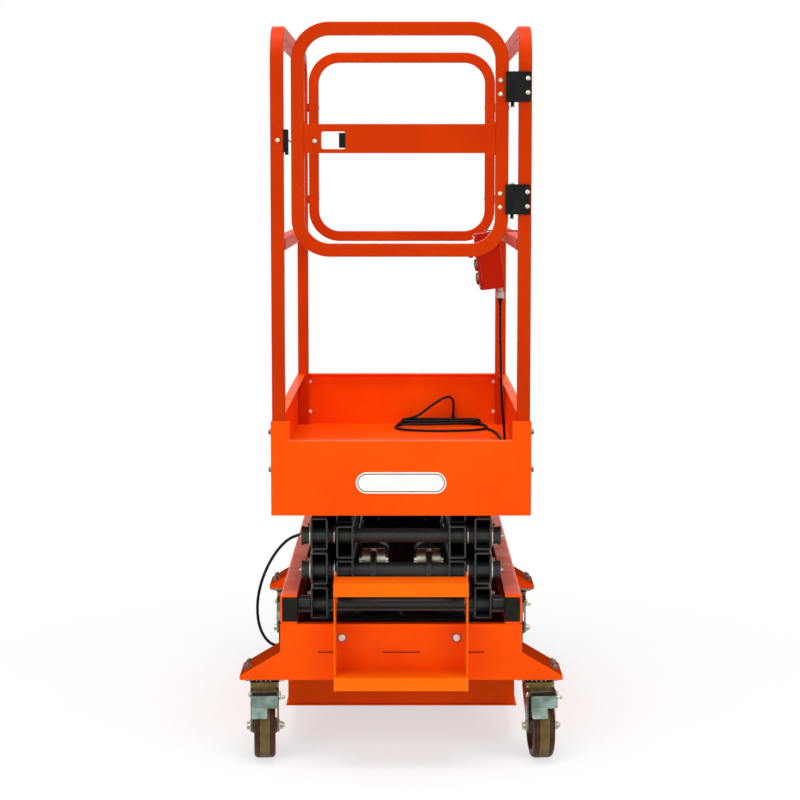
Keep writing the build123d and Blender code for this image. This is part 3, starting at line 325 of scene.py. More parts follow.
def rounded(node, name, edge, finish, broad=None):
    """A piece with a part's own shape, its sharp edges rounded to the radius edge.

    Long outside edges take the radius broad, as on folded sheet.
    """
    mesh = frame["nodes"][node].data.copy()
    shape = bmesh.new()
    shape.from_mesh(mesh)
    bmesh.ops.remove_doubles(shape, verts=shape.verts, dist=1e-5)
    bmesh.ops.dissolve_limit(shape, angle_limit=radians(0.5), verts=shape.verts, edges=shape.edges)
    if broad:
        round_edges(shape, broad, 3, False, lambda e: e.is_convex and e.calc_length() > long_edge)
    if edge:
        round_edges(shape, edge, 2, False)
    shape.to_mesh(mesh)
    shape.free()
    piece = finished(mesh, name, finish, frame["nodes"][node]["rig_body"])
    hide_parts(node)
    return piece


def made(shape, name, finish, body, edge=None):
    """The forms gathered in shape as one finished piece, sharp edges rounded to edge."""
    bmesh.ops.remove_doubles(shape, verts=shape.verts, dist=1e-6)
    bmesh.ops.recalc_face_normals(shape, faces=shape.faces)
    if edge:
        round_edges(shape, edge, 2, True)
    mesh = bpy.data.meshes.new(name)
    shape.to_mesh(mesh)
    shape.free()
    return finished(mesh, name, finish, body)


def sprayed(name, colour, rubbed_and_lit_edge_colour, dark_colour, gloss=0.05, edge_rub_and_sheen=(0, 0.75), upward_shade=None):
    """Sprayed enamel: cloudy depth, lighter edges, fine orange peel and faint rubbed streaks.
    The lighter edges are partly paint rubbed thin and partly a painted highlight along them.

    Where a shade colour is given, the faces that look upward take it as painted shade and lose their gloss.
    """
    finish, tree, shader, place = surface_of(name)
    clouds = grain(tree, place, 5.0, detail=4.0)
    streaks = grain(tree, place, 26.0, stretch=(1, 1, 0.16))
    deep = between(tree, spread(tree, clouds, 0, 1, 0.34, 0.66), dark_colour, colour)
    # lighter edges in patches: partly rubbed wear, partly a painted highlight along the edges
    rounding = tree.nodes.new("ShaderNodeBevel")
    rounding.samples = 4
    rounding.inputs["Radius"].default_value = 0.0022
    shape = tree.nodes.new("ShaderNodeNewGeometry")
    facing = tree.nodes.new("ShaderNodeVectorMath")
    facing.operation = "DOT_PRODUCT"
    tree.links.new(rounding.outputs["Normal"], facing.inputs[0])
    tree.links.new(shape.outputs["Normal"], facing.inputs[1])
    edge = spread(tree, facing.outputs["Value"], 1, 0, 0.72, 0.97)
    rubbed_and_lit_edges = tree.nodes.new("ShaderNodeMath")
    rubbed_and_lit_edges.operation = "MULTIPLY"
    tree.links.new(edge, rubbed_and_lit_edges.inputs[0])
    tree.links.new(spread(tree, grain(tree, place, 34.0), *edge_rub_and_sheen, 0.38, 0.62), rubbed_and_lit_edges.inputs[1])
    skin = between(tree, rubbed_and_lit_edges.outputs["Value"], deep, rubbed_and_lit_edge_colour)
    # painted shade: the faces that look upward darken to the given colour and lose their gloss
    if upward_shade:
        parts = tree.nodes.new("ShaderNodeSeparateXYZ")
        tree.links.new(shape.outputs["Normal"], parts.inputs[0])
        upward_shade_share = spread(tree, parts.outputs["Z"], 0, 0.92, 0.25, 0.60)
        skin = between(tree, upward_shade_share, skin, upward_shade)
        tree.links.new(spread(tree, upward_shade_share, gloss, 0, 0, 0.92), shader.inputs["Specular IOR Level"])
    else:
        shader.inputs["Specular IOR Level"].default_value = gloss
    tree.links.new(skin, shader.inputs["Base Color"])
    tree.links.new(spread(tree, streaks, 0.30, 0.46), shader.inputs["Roughness"])
    relief(tree, shader, grain(tree, place, 520.0, 2.0), 0.00010, 0.25)
    return finish


def bead(shape, points, across, closed=False):
    """A run of weld along the points: overlapping ripples, half sunk into the joint."""
    sides, narrow, uneven, tapered = 6, 0.80, 0.08, 0.4
    corners = [Vector(at) for at in points]
    if closed:
        corners.append(corners[0])
    path = [corners[0]]
    for start, stop in zip(corners, corners[1:]):
        ripples = max(1, round((stop - start).length / (0.5 * across)))
        path += [start.lerp(stop, (k + 1) / ripples) for k in range(ripples)]
    loops = []
    for number, middle in enumerate(path):
        at_end = number in (0, len(path) - 1)
        before, after = path[max(number - 1, 0)], path[min(number + 1, len(path) - 1)]
        if closed and at_end:
            before, after = path[-2], path[1]
        run = (after - before).normalized()
        aside = run.orthogonal() if abs(run.x) > 0.9 else run.cross(Vector((1, 0, 0)))
        aside.normalize()
        up = run.cross(aside)
        size = across / 2 * (1.0 if number % 2 else narrow) * (1 + uneven * sin(number * 2.4))
        if at_end and not closed:
            size *= tapered
        angles = [2 * pi * k / sides for k in range(sides)]
        loops.append([
            shape.verts.new(middle + (aside * cos(angle) + up * sin(angle)) * size) for angle in angles
        ])
    for low, high in zip(loops, loops[1:]):
        for k in range(sides):
            shape.faces.new((low[k], low[(k + 1) % sides], high[(k + 1) % sides], high[k]))
    if not closed:
        shape.faces.new(loops[0][::-1])
        shape.faces.new(loops[-1])


# The lighter orange for edges is partly rubbed paint and partly a painted highlight.
orange, rubbed_and_lit_orange, deep_orange = (0.97, 0.090, 0.0005), (1.0, 0.15, 0.006), (0.86, 0.070, 0.0005)
sheet_paint = sprayed("sheet_paint", orange, rubbed_and_lit_orange, deep_orange)
rail_paint = sprayed("rail_paint", orange, rubbed_and_lit_orange, deep_orange, gloss=0.09)
for side in ("left", "right"):
    rounded("side_rail_" + side, "rail_channel_" + side, 0.0008, rail_paint)
rail_low, rail_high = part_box("side_rail_right")
seam_x, seam_z = rail_high[0] - 0.0055, rail_low[2] - 0.0005
stitches, stitch_inset, stitch_apart, stitch_long = 8, 0.041, 0.145, 0.045
shape = bmesh.new()
for side in (-1, 1):
    for stitch in range(stitches):
        start_y = rail_low[1] + stitch_inset + stitch_apart * stitch
        bead(shape, [(side * seam_x, start_y, seam_z),
                     (side * seam_x, start_y + stitch_long, seam_z)], 0.005)
made(shape, "rail_stitches", sheet_paint, "base")

# Each end is a 5 mm plate with a flange at its top and foot, and two boxed outriggers that
# carry the casters. Laser-cut plates, seam welded, with narrow drain slots in the face.
# The end frames' faces that look upward carry a dark painted shade, standing in for the dark reflection on
# the outrigger covers.
end_paint = sprayed("end_paint", (0.97, 0.094, 0.0005), rubbed_and_lit_orange, (0.86, 0.074, 0.0005),
                    upward_shade=(0.33, 0.026, 0.002))
for end in ("front", "rear"):
    rounded(end + "_end_frame", end + "_end_plate", 0.0008, end_paint)
front_low, front_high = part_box("front_end_frame")
front_y, rear_y = front_low[1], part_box("rear_end_frame")[1][1]
end_faces = ((front_y, 1), (rear_y, -1))
outrigger_long = front_high[1] - front_low[1]
root_x, root_z = rail_high[0], 0.257
tip_x, tip_z = front_high[0] * 0.985, front_low[2] + 0.010
bead_inset, bead_stand = 0.004, 0.0005
shape = bmesh.new()
for side in (-1, 1):
    for face_y, inward in end_faces:
        near_y, far_y, back_y = (
            face_y + inward * far
            for far in (bead_inset, outrigger_long - bead_inset, outrigger_long + bead_stand)
        )
        joint_x = side * (root_x + bead_stand)
        bead(shape, [(joint_x, near_y, root_z), (joint_x, far_y, root_z)], 0.005)
        bead(shape, [(side * root_x, back_y, root_z - 0.003), (side * tip_x, back_y, tip_z)], 0.004)
made(shape, "outrigger_welds", end_paint, "base")


def slab(shape, outline, away):
    """A flat piece: the points of its outline, carried through its thickness by away."""
    near = [shape.verts.new(Vector(at)) for at in outline]
    far = [shape.verts.new(Vector(at) + Vector(away)) for at in outline]
    shape.faces.new(near)
    shape.faces.new(far[::-1])
    for k in range(len(near)):
        shape.faces.new((near[k - 1], near[k], far[k], far[k - 1]))


def turned(shape, at, along, profile, parts=24):
    """A lathed form: rows of (radius, distance along its axis) from one end to the other."""
    axis = Vector(along).normalized()
    across = axis.orthogonal().normalized()
    up = axis.cross(across)
    loops = []
    on_axis = 1e-5
    for radius, far in profile:
        middle = Vector(at) + axis * far
        count = parts if radius > on_axis else 1
        angles = [2 * pi * k / count for k in range(count)]
        loops.append([
            shape.verts.new(middle + (across * cos(angle) + up * sin(angle)) * radius) for angle in angles
        ])
    for low, high in zip(loops, loops[1:]):
        for k in range(parts):
            corners = dict.fromkeys((
                low[k % len(low)], low[(k + 1) % len(low)], high[(k + 1) % len(high)], high[k % len(high)],
            ))
            if len(corners) > 2:
                shape.faces.new(tuple(corners))


def bolt(shape, at, along, across, tall, washer=None):
    """A hexagon head, chamfered on top, standing on a round washer of that radius."""
    axis = Vector(along).normalized()
    stand, chamfer = 0.0014, 0.0003
    if washer:
        turned(shape, at, axis, [
            (0, 0), (washer, 0), (washer, stand - chamfer), (washer - chamfer, stand), (0, stand),
        ])
    corner = across / 3 ** 0.5
    turned(shape, Vector(at) + axis * (stand if washer else 0), axis, [
        (0, 0), (corner, 0), (corner, 0.80 * tall), (0.90 * corner, tall), (0.42 * corner, tall),
        (0.36 * corner, 0.86 * tall), (0, 0.86 * tall),
    ], parts=6)


def plated(name, colour, tint, rough=(0.26, 0.48), metal=1.0):
    """Zinc plating: a bright metal with cloudy yellow and blue tints and fine rub marks."""
    finish, tree, shader, place = surface_of(name)
    tints = grain(tree, place, 30.0, detail=4.0)
    tree.links.new(between(tree, spread(tree, tints, 0, 1, 0.38, 0.62), colour, tint),
                   shader.inputs["Base Color"])
    rubs = grain(tree, place, 120.0, stretch=(1, 1, 0.2))
    tree.links.new(spread(tree, rubs, *rough), shader.inputs["Roughness"])
    shader.inputs["Metallic"].default_value = metal
    relief(tree, shader, grain(tree, place, 700.0), 0.0002, 0.35)
    return finish


# a folded lip closes each outrigger's tip and follows the slope of its cover
lip_outline = [(0.3552, 0.2141), (0.3786, 0.2002), (0.3786, 0.1952), (0.3700, 0.1952), (0.3552, 0.2081)]
lip_inset = 0.0052
shape = bmesh.new()
for side in (-1, 1):
    for face_y, inward in end_faces:
        slab(shape, [(side * x, face_y + inward * lip_inset, z) for x, z in lip_outline],
             (0, inward * (outrigger_long - 2 * lip_inset), 0))
made(shape, "outrigger_lips", end_paint, "base", 0.0008)

bright_zinc = plated("bright_zinc", (0.80, 0.80, 0.76), (0.74, 0.70, 0.56), (0.22, 0.38))
pale_zinc = plated("pale_zinc", (0.96, 0.96, 0.92), (0.90, 0.89, 0.82), (0.30, 0.45), 0.0)
dark_bolts = plated("dark_bolts", (0.20, 0.21, 0.18), (0.13, 0.12, 0.09), (0.38, 0.6), 0.85)
plate_bolts = [(bolt_x, front_y, 0.291) for bolt_x in (-0.139, 0.130)]
shape = bmesh.new()
for spot in plate_bolts:
    turned(shape, spot, (0, -1, 0), [
        (0, 0), (0.0085, 0), (0.0084, 0.0016), (0.0076, 0.0030), (0.0058, 0.0038), (0, 0.0042),
    ])
made(shape, "plate_button_heads", pale_zinc, "base")
shape = bmesh.new()
for spot in plate_bolts:
    turned(shape, spot, (0, -1, 0), [
        (0, 0), (0.0112, 0), (0.0112, 0.0006), (0.0105, 0.0011), (0, 0.0011),
    ])
cover_bolt_x, cover_bolt_z, cover_bolt_ys = 0.361, 0.2107, (-0.505, -0.452, 0.540, 0.593)
for side in (-1, 1):
    cover_slope = Vector((side * 0.51, 0, 0.86))
    for bolt_y in cover_bolt_ys:
        bolt(shape, (side * cover_bolt_x, bolt_y, cover_bolt_z), cover_slope, 0.013, 0.0072, 0.0098)
made(shape, "outrigger_bolts", dark_bolts, "base", 0.0003)

# A black rubber sheet inside the rear plate behind the scissor is painted shade: it fills the dark,
# empty gap behind the lower tubes. Two rows of button screws hold it.


def rubbery(name, colour, dust_colour, rough=(0.6, 0.85), gloss=0.15):
    """Dull moulded rubber or plastic with dust in its grain."""
    finish, tree, shader, place = surface_of(name)
    dust = grain(tree, place, 40.0, 5.0)
    tree.links.new(between(tree, spread(tree, dust, 0, 1, 0.35, 0.75), colour, dust_colour),
                   shader.inputs["Base Color"])
    tree.links.new(spread(tree, dust, *rough), shader.inputs["Roughness"])
    shader.inputs["Specular IOR Level"].default_value = gloss
    relief(tree, shader, grain(tree, place, 900.0), 0.0002, 0.6)
    return finish


def rounded_outline(width, tall, corner, steps=5):
    """Corner points of a flat oblong round the origin, with rounded corners."""
    points = []
    for number, (side, up) in enumerate(((1, 1), (-1, 1), (-1, -1), (1, -1))):
        for step in range(steps + 1):
            angle = pi / 2 * (number + step / steps)
            points.append((side * (width / 2 - corner) + corner * cos(angle),
                           up * (tall / 2 - corner) + corner * sin(angle)))
    return points


black_rubber = rubbery("black_rubber", (0.009, 0.010, 0.007), (0.020, 0.021, 0.016), gloss=0.08)
sheet_wide, sheet_low, sheet_high, sheet_thick, sheet_y = 0.440, 0.212, 0.386, 0.003, rear_y - 0.0054
sheet_mid_z, screw_inset = (sheet_low + sheet_high) / 2, 0.014
shape = bmesh.new()
slab(shape, [(x, sheet_y, sheet_mid_z + z)
             for x, z in rounded_outline(sheet_wide, sheet_high - sheet_low, 0.012)],
     (0, -sheet_thick, 0))
made(shape, "shade_sheet", black_rubber, "base", 0.0008)
shape = bmesh.new()
for screw_x in (-0.200, -0.067, 0.067, 0.200):
    for screw_z in (sheet_low + screw_inset, sheet_high - screw_inset):
        turned(shape, (screw_x, sheet_y - sheet_thick, screw_z), (0, -1, 0), [
            (0, 0), (0.0055, 0), (0.0048, 0.0022), (0, 0.0032),
        ], 16)
made(shape, "shade_sheet_screws", dark_bolts, "base")

# The chassis tray is folded from 4 mm sheet: two sills under the rails and a deep open box
# between the casters. A square tube across its back carries the two lift cylinders.
rounded("chassis_tray", "tray_and_sills", 0.0008, sheet_paint)
rounded("cylinder_mount", "cylinder_crossbar", 0.0008, sheet_paint)
mount_low, mount_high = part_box("cylinder_mount")
tray_floor_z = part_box("chassis_tray")[0][2] + 0.0045
tray_front_y, tray_back_y, tray_side_x, tray_stitch = -0.3365, 0.4245, 0.2775, 0.040
lug_x, lug_half, lug_weld_z, lug_weld_half = 0.066, 0.026, 0.2665, 0.006
shape = bmesh.new()
for wall_y in (tray_front_y, tray_back_y):
    for stitch in range(5):
        start_x = -0.240 + 0.110 * stitch
        bead(shape, [(start_x, wall_y, tray_floor_z), (start_x + tray_stitch, wall_y, tray_floor_z)], 0.004)
for side in (-1, 1):
    wall_x = side * tray_side_x
    for stitch in range(6):
        start_y = -0.30 + 0.125 * stitch
        bead(shape, [(wall_x, start_y, tray_floor_z), (wall_x, start_y + tray_stitch, tray_floor_z)], 0.004)
    for cheek_x in (side * lug_x - lug_half, side * lug_x + lug_half):
        for wall_y in (mount_low[1], mount_high[1]):
            bead(shape, [(cheek_x - lug_weld_half, wall_y, lug_weld_z),
                         (cheek_x + lug_weld_half, wall_y, lug_weld_z)], 0.005)
made(shape, "tray_welds", sheet_paint, "base")

# Moulded rubber blocks close the four open ends of the rails. They are pushed in and held
# by their own grip.
rounded("rail_end_blocks", "rail_end_plugs", 0.0012, black_rubber)

# The battery and pump share one dark pressed case that stands in the tray. Its lid is held
# by six screws and carries the motor's cap and the oil filler.
dark_case = sprayed("dark_case", (0.030, 0.031, 0.033), (0.10, 0.10, 0.10), (0.020, 0.021, 0.022))
rounded("power_pack", "power_case", 0.0030, dark_case)
case_low, case_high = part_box("power_pack")
case_mid_y = (case_low[1] + case_high[1]) / 2
case_top_z = case_high[2]
lid_wide, lid_long, lid_thick, lid_sunk = 0.352, 0.412, 0.004, 0.001
lid_top_z = case_top_z + lid_thick - lid_sunk
motor_wide, motor_long, motor_tall, motor_back = 0.200, 0.090, 0.014, 0.110
shape = bmesh.new()
slab(shape, [(x, case_mid_y + y, case_top_z - lid_sunk)
             for x, y in rounded_outline(lid_wide, lid_long, 0.016)], (0, 0, lid_thick))
slab(shape, [(x, case_mid_y - motor_back + y, lid_top_z - lid_sunk)
             for x, y in rounded_outline(motor_wide, motor_long, 0.010)], (0, 0, motor_tall))
made(shape, "power_lid", dark_case, "base", 0.0012)
screw_z = lid_top_z - 0.0001
shape = bmesh.new()
for screw_x in (-0.160, 0, 0.160):
    for screw_y in (case_mid_y - 0.190, case_mid_y + 0.190):
        bolt(shape, (screw_x, screw_y, screw_z), (0, 0, 1), 0.010, 0.005, 0.009)
turned(shape, (0.110, case_mid_y + 0.08, screw_z), (0, 0, 1), [
    (0, 0), (0.020, 0), (0.020, 0.010), (0.016, 0.012), (0.016, 0.018), (0.024, 0.019), (0.025, 0.027),
    (0.021, 0.032), (0, 0.033),
])
made(shape, "power_lid_screws", dark_bolts, "base", 0.0003)

# The access step is two folded treads between two 4 mm cheeks, welded to the front plate.
# Its yellower, brighter orange is painted light: the frame's orange lit up, standing in for the light its
# up-facing treads catch.
lit_tread_paint = sprayed("lit_tread_paint", (1.0, 0.165, 0.002), (1.0, 0.23, 0.02), (0.94, 0.130, 0.002))
rounded("access_step", "step_treads", 0.0008, lit_tread_paint, broad=0.0014)
step_low, step_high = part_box("access_step")
cheek_inside, lip_gap_x, lip_gap_y = step_high[0] - 0.0042, step_high[0] - 0.002, step_low[1] + 0.006
tread_from_y, tread_to_y = step_low[1] + 0.011, step_high[1] - 0.019
tread_tops, tread_lip = (0.216, 0.436), 0.030
shape = bmesh.new()
for side in (-1, 1):
    cheek_x, gap_x = side * cheek_inside, side * lip_gap_x
    for low_z, high_z in ((0.222, 0.262), (0.372, 0.428)):
        bead(shape, [(cheek_x, front_y + bead_stand, low_z), (cheek_x, front_y + bead_stand, high_z)], 0.005)
    for top_z in tread_tops:
        under_z, lip_low_z, lip_high_z = top_z - 0.005, top_z - tread_lip + 0.0008, top_z - 0.0018
        bead(shape, [(cheek_x, tread_from_y, under_z), (cheek_x, tread_to_y, under_z)], 0.004)
        bead(shape, [(gap_x, lip_gap_y, lip_low_z), (gap_x, lip_gap_y, lip_high_z)], 0.0054)
made(shape, "step_welds", lit_tread_paint, "base")

# Four swivel casters with brake pedals: zinc-plated pressed steel plates, ball races and
# forks, each plate held by four bolts. The wheels are brown urethane moulded on iron cores.
plate_zinc = plated("plate_zinc", (0.26, 0.28, 0.22), (0.32, 0.28, 0.18), (0.34, 0.55))
fork_zinc = plated("fork_zinc", (0.27, 0.29, 0.23), (0.17, 0.13, 0.07), (0.26, 0.44))
clevis_zinc = plated("clevis_zinc", (0.46, 0.48, 0.40), (0.56, 0.52, 0.38), (0.3, 0.5))
blue_zinc = plated("blue_zinc", (0.125, 0.180, 0.150), (0.27, 0.35, 0.30), (0.30, 0.48), 0.8)
yellow_zinc = plated("yellow_zinc", (0.33, 0.23, 0.085), (0.22, 0.14, 0.05), (0.30, 0.46), 0.9)
tyre_brown = rubbery("tyre_brown", (0.036, 0.011, 0.006), (0.095, 0.038, 0.019), (0.32, 0.5), 0.10)
tread_olive = rubbery("tread_olive", (0.110, 0.078, 0.023), (0.19, 0.140, 0.055), (0.42, 0.62), 0.10)
iron_core = rubbery("iron_core", (0.035, 0.030, 0.026), (0.09, 0.075, 0.058), (0.45, 0.65))
dark_race = plated("dark_race", (0.10, 0.095, 0.075), (0.17, 0.14, 0.09), (0.30, 0.5), 0.9)
rounded("caster_plates", "caster_top_plates", 0.0008, plate_zinc)


def mirrored(rows):
    """A closed lathe profile from the rows of its right half, the same on the left."""
    left = [(radius, -far) for radius, far in rows]
    return left + rows[::-1] + left[:1]


caster_spots = {
    "front_left": (-0.325, -0.472, radians(4)), "front_right": (0.325, -0.472, radians(5)),
    "rear_left": (-0.325, 0.560, 0.0), "rear_right": (0.325, 0.560, radians(-3)),
}
trail, axle_z, leg_out_x = 0.045, 0.075, 0.0335
plate_bolt_x, plate_bolt_y, plate_under_z, king_nut_z = 0.042, 0.038, 0.185, 0.1702
race_under_z, race_balls, ball_z, ball_ring = 0.177, 22, 0.1798, 0.0376
race_rows = [
    (0.0362, 0.0002), (0.0385, 0.0012), (0.0392, 0.0035), (0.0378, 0.0058), (0.0362, 0.0078),
    (0.0362, 0.0002),
]
ball_rows = [(0.0018, 0), (0.0021, 0.0010), (0.0014, 0.0022), (0, 0.0026)]
apron_outline = [
    (-0.033, 0.1766), (0.033, 0.1766), (0.033, 0.159), (0.028, 0.154), (-0.028, 0.154), (-0.033, 0.159),
]
apron_ahead, apron_thick = 0.0390, 0.0022
pedal_ahead, pedal_z, pedal_wide, pedal_tall, pedal_thick, pedal_slope = (
    0.1012, 0.1462, 0.0615, 0.0290, 0.0052, 0.0022,
)
tab_ahead, tab_top_z, tab_slope = 0.1028, 0.1345, 0.66
tab_outline = [
    (-0.0308, tab_top_z), (0.0062, tab_top_z), (0.0062, 0.1140), (0.0032, 0.1112), (-0.0278, 0.1112),
    (-0.0308, 0.1140),
]
arm_ahead, arm_z, arm_wide, arm_long, arm_thick = 0.0720, 0.1582, 0.0600, 0.0040, 0.0036
# A thin black strip along each pedal's top back edge is painted shade, standing for the dark gap between the
# crown apron and the pedal.
strip_half, strip_thick = 0.0290, 0.0030
strip_near, strip_far = (0.0800, 0.1605), (0.0985, 0.1592)
pedal_pin, spring_pin = (0.066, 0.1555), (0.074, 0.1490)
axle_washer_rows = [(0, 0), (0.0135, 0), (0.0135, 0.0014), (0.0130, 0.0018), (0, 0.0018)]
axle_end_rows = [(0, 0), (0.0058, 0), (0.0058, 0.0125), (0.0048, 0.0135), (0, 0.0135)]
pedal_pin_rows = [(0, 0), (0.0062, 0), (0.0062, 0.0030), (0.0048, 0.0046), (0, 0.0050)]
spring_pin_rows = [
    (0, 0), (0.0055, 0), (0.0055, 0.0030), (0.0032, 0.0036), (0.0032, 0.0084), (0.0046, 0.0092),
    (0.0046, 0.0124), (0.0034, 0.0136), (0, 0.0138),
]
tyre_rows = [
    (0.0530, 0.0170), (0.0560, 0.0245), (0.0570, 0.0250), (0.0665, 0.0250), (0.0700, 0.0241),
    (0.0725, 0.0220), (0.0741, 0.0190), (0.0748, 0.0165), (0.0749, 0.0125), (0.0740, 0.0118),
]
tread_rows = [(0.0735, 0.0114), (0.0747, 0.0114), (0.0750, 0.0104)]
core_rows = [
    (0.0062, 0.0287), (0.0165, 0.0287), (0.0180, 0.0275), (0.0185, 0.0200), (0.0210, 0.0155),
    (0.0300, 0.0085), (0.0430, 0.0085), (0.0500, 0.0150), (0.0532, 0.0172),
]
ribs, rib_thick = 6, 0.004
rib_outline = [(0.006, 0.0200), (0.0165, 0.0200), (0.0120, 0.0500), (0.006, 0.0500)]
for corner, (spot_x, spot_y, turn) in caster_spots.items():
    across, ahead = Vector((cos(turn), sin(turn), 0)), Vector((sin(turn), -cos(turn), 0))

    def on_fork(x, forward, z):
        """A point on this caster: x to the right, forward from its swivel, and its height."""
        return Vector((spot_x, spot_y, z)) + across * x + ahead * forward

    shape = bmesh.new()
    for bolt_x in (spot_x - plate_bolt_x, spot_x + plate_bolt_x):
        for bolt_y in (spot_y - plate_bolt_y, spot_y + plate_bolt_y):
            bolt(shape, (bolt_x, bolt_y, plate_under_z), (0, 0, -1), 0.013, 0.0032, 0.0095)
    made(shape, f"plate_bolts_{corner}", bright_zinc, "base", 0.0003)
    shape = bmesh.new()
    turned(shape, (spot_x, spot_y, race_under_z), (0, 0, 1), race_rows, 40)
    made(shape, f"race_ring_{corner}", dark_race, "base")
    shape = bmesh.new()
    for ball in range(race_balls):
        angle = 2 * pi * ball / race_balls
        out = Vector((cos(angle), sin(angle), 0))
        turned(shape, Vector((spot_x, spot_y, ball_z)) + out * ball_ring, out, ball_rows, 8)
    made(shape, f"race_balls_{corner}", bright_zinc, "base")

    fork = "fork_" + corner
    rounded("caster_" + fork, fork, 0.0004, fork_zinc)
    shape = bmesh.new()
    slab(shape, [on_fork(x, apron_ahead, z) for x, z in apron_outline], ahead * apron_thick)
    made(shape, f"crown_apron_{corner}", yellow_zinc, fork, 0.0008)
    shape = bmesh.new()
    slab(shape, [on_fork(x, pedal_ahead + pedal_slope * (0.5 - z / 0.028), pedal_z + z)
                 for x, z in rounded_outline(pedal_wide, pedal_tall, 0.0040)], ahead * pedal_thick)
    slab(shape, [on_fork(x, tab_ahead + (tab_top_z - z) * tab_slope, z) for x, z in tab_outline],
         ahead * pedal_thick)
    slab(shape, [on_fork(x, arm_ahead + y, arm_z) for x, y in rounded_outline(arm_wide, arm_long, 0.0015)],
         (0, 0, arm_thick))
    made(shape, f"brake_pedal_{corner}", blue_zinc, fork, 0.0009)
    # the black strip of painted shade behind the pedal's top edge
    shape = bmesh.new()
    slab(shape, [on_fork(-strip_half, *strip_near), on_fork(strip_half, *strip_near),
                 on_fork(strip_half, *strip_far), on_fork(-strip_half, *strip_far)], (0, 0, strip_thick))
    made(shape, f"pedal_shade_strip_{corner}", black_rubber, fork, 0.0010)
    shape = bmesh.new()
    for side in (-1, 1):
        out, axle_end = across * side, on_fork(side * leg_out_x, trail, axle_z)
        turned(shape, axle_end, out, axle_washer_rows)
        bolt(shape, axle_end + out * 0.0015, out, 0.0178, 0.0078)
        turned(shape, on_fork(side * leg_out_x, *pedal_pin), out, pedal_pin_rows)
    turned(shape, on_fork(leg_out_x, trail, axle_z), across, axle_end_rows)
    turned(shape, on_fork(leg_out_x, *spring_pin), across, spring_pin_rows, 18)
    bolt(shape, (spot_x, spot_y, king_nut_z), (0, 0, -1), 0.019, 0.009, 0.0125)
    made(shape, f"fork_fasteners_{corner}", clevis_zinc, fork, 0.0003)

    wheel = "wheel_" + corner
    hub = on_fork(0, trail, axle_z)
    shape = bmesh.new()
    turned(shape, hub, across, mirrored(tyre_rows), 96)
    tyre = made(shape, "tyre_" + corner, tyre_brown, wheel)
    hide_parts("caster_" + wheel)
    shape = bmesh.new()
    turned(shape, hub, across, mirrored(tread_rows), 96)
    made(shape, "tread_" + corner, tread_olive, wheel)
    shape = bmesh.new()
    turned(shape, hub, across, mirrored(core_rows), 64)
    for rib in range(ribs):
        angle = 2 * pi * rib / ribs
        arm = ahead * cos(angle) + Vector((0, 0, sin(angle)))
        through = arm.cross(across)
        for side in (-1, 1):
            slab(shape, [hub + across * side * x + arm * far + through * rib_thick / 2
                         for x, far in rib_outline], -through * rib_thick)
    made(shape, "core_" + corner, iron_core, wheel, 0.0006)

# Two lift cylinders, seen between the arms: black barrels hinged on the crossbar and
# chromed rods that push the lowest inner arms up through their zinc clevises. A steel pipe
# joins the two ports of each barrel.
black_paint = sprayed("black_paint", (0.026, 0.031, 0.027), (0.125, 0.135, 0.110), (0.015, 0.018, 0.016),
                      gloss=0.35, edge_rub_and_sheen=(0.35, 1.0))
chrome = plated("chrome", (0.86, 0.87, 0.88), (0.80, 0.81, 0.82), (0.06, 0.14))
rounded("cylinder_barrels", "lift_barrels", 0.0012, black_paint)
rounded("cylinder_rods", "lift_clevises", 0.0008, clevis_zinc)
hinge, eye = Vector((0, (mount_low[1] + mount_high[1]) / 2, 0.300)), Vector((0, -0.402, 0.450))
thrust = (eye - hinge).normalized()
above = Vector((0, thrust.z, -thrust.y))
closed_long, mouth, cylinder_spots = (eye - hinge).length, 0.560, (-0.066, 0.066)
collar_rows = [
    (0.0176, -0.034), (0.0352, -0.034), (0.0372, -0.032), (0.0372, -0.008), (0.0355, -0.004),
    (0.0300, -0.002), (0.0290, 0.003), (0.0176, 0.003), (0.0176, -0.034),
]
foot_rows = [(0.0340, 0.026), (0.0362, 0.028), (0.0362, 0.040), (0.0348, 0.043), (0.0340, 0.026)]
port_rows = [(0, 0), (0.0110, 0), (0.0110, 0.0060), (0.0100, 0.0075), (0, 0.0075)]
port_cap_rows = [(0, 0), (0.0052, 0), (0.0052, 0.0040), (0, 0.0040)]
pin_head_rows = [
    (0, 0), (0.0150, 0), (0.0150, 0.0025), (0.0120, 0.0032), (0.0120, 0.0068), (0.0108, 0.0080),
    (0, 0.0080),
]
rod_half, rod_start, rod_end, pipe_half = 0.01755, 0.200, closed_long - 0.0546, 0.0036
port_stand, pipe_stand, pin_head_x = 0.033, 0.0185, 0.0278
shape, bright, chromed, pins = bmesh.new(), bmesh.new(), bmesh.new(), bmesh.new()
for cylinder_x in cylinder_spots:
    foot = hinge + Vector((cylinder_x, 0, 0))
    turned(shape, foot + thrust * mouth, thrust, collar_rows, 40)
    turned(shape, foot, thrust, foot_rows, 40)
    ports = []
    for far in (0.062, mouth - 0.056):
        port = foot + thrust * far + above * port_stand
        turned(shape, port, above, port_rows)
        bolt(bright, port + above * 0.007, above, 0.0160, 0.0080)
        turned(bright, port + above * 0.015, above, port_cap_rows, 16)
        ports.append(port + above * pipe_stand)
    pipe_long = (ports[1] - ports[0]).length + 0.008
    turned(bright, ports[0] - thrust * 0.004, thrust, [
        (0, 0), (pipe_half, 0.0004), (pipe_half, pipe_long - 0.0004), (0, pipe_long),
    ], 14)
    turned(chromed, foot, thrust, [
        (0, rod_start), (rod_half, rod_start), (rod_half, rod_end), (0, rod_end),
    ], 40)
    for side in (-1, 1):
        turned(pins, eye + Vector((cylinder_x + side * pin_head_x, 0, 0)), (side, 0, 0), pin_head_rows)
made(shape, "barrel_collars", black_paint, "barrels")
made(bright, "barrel_pipes", bright_zinc, "barrels", 0.0003)
made(chromed, "chromed_rods", chrome, "rods")
made(pins, "clevis_pins", bright_zinc, "rods", 0.0003)

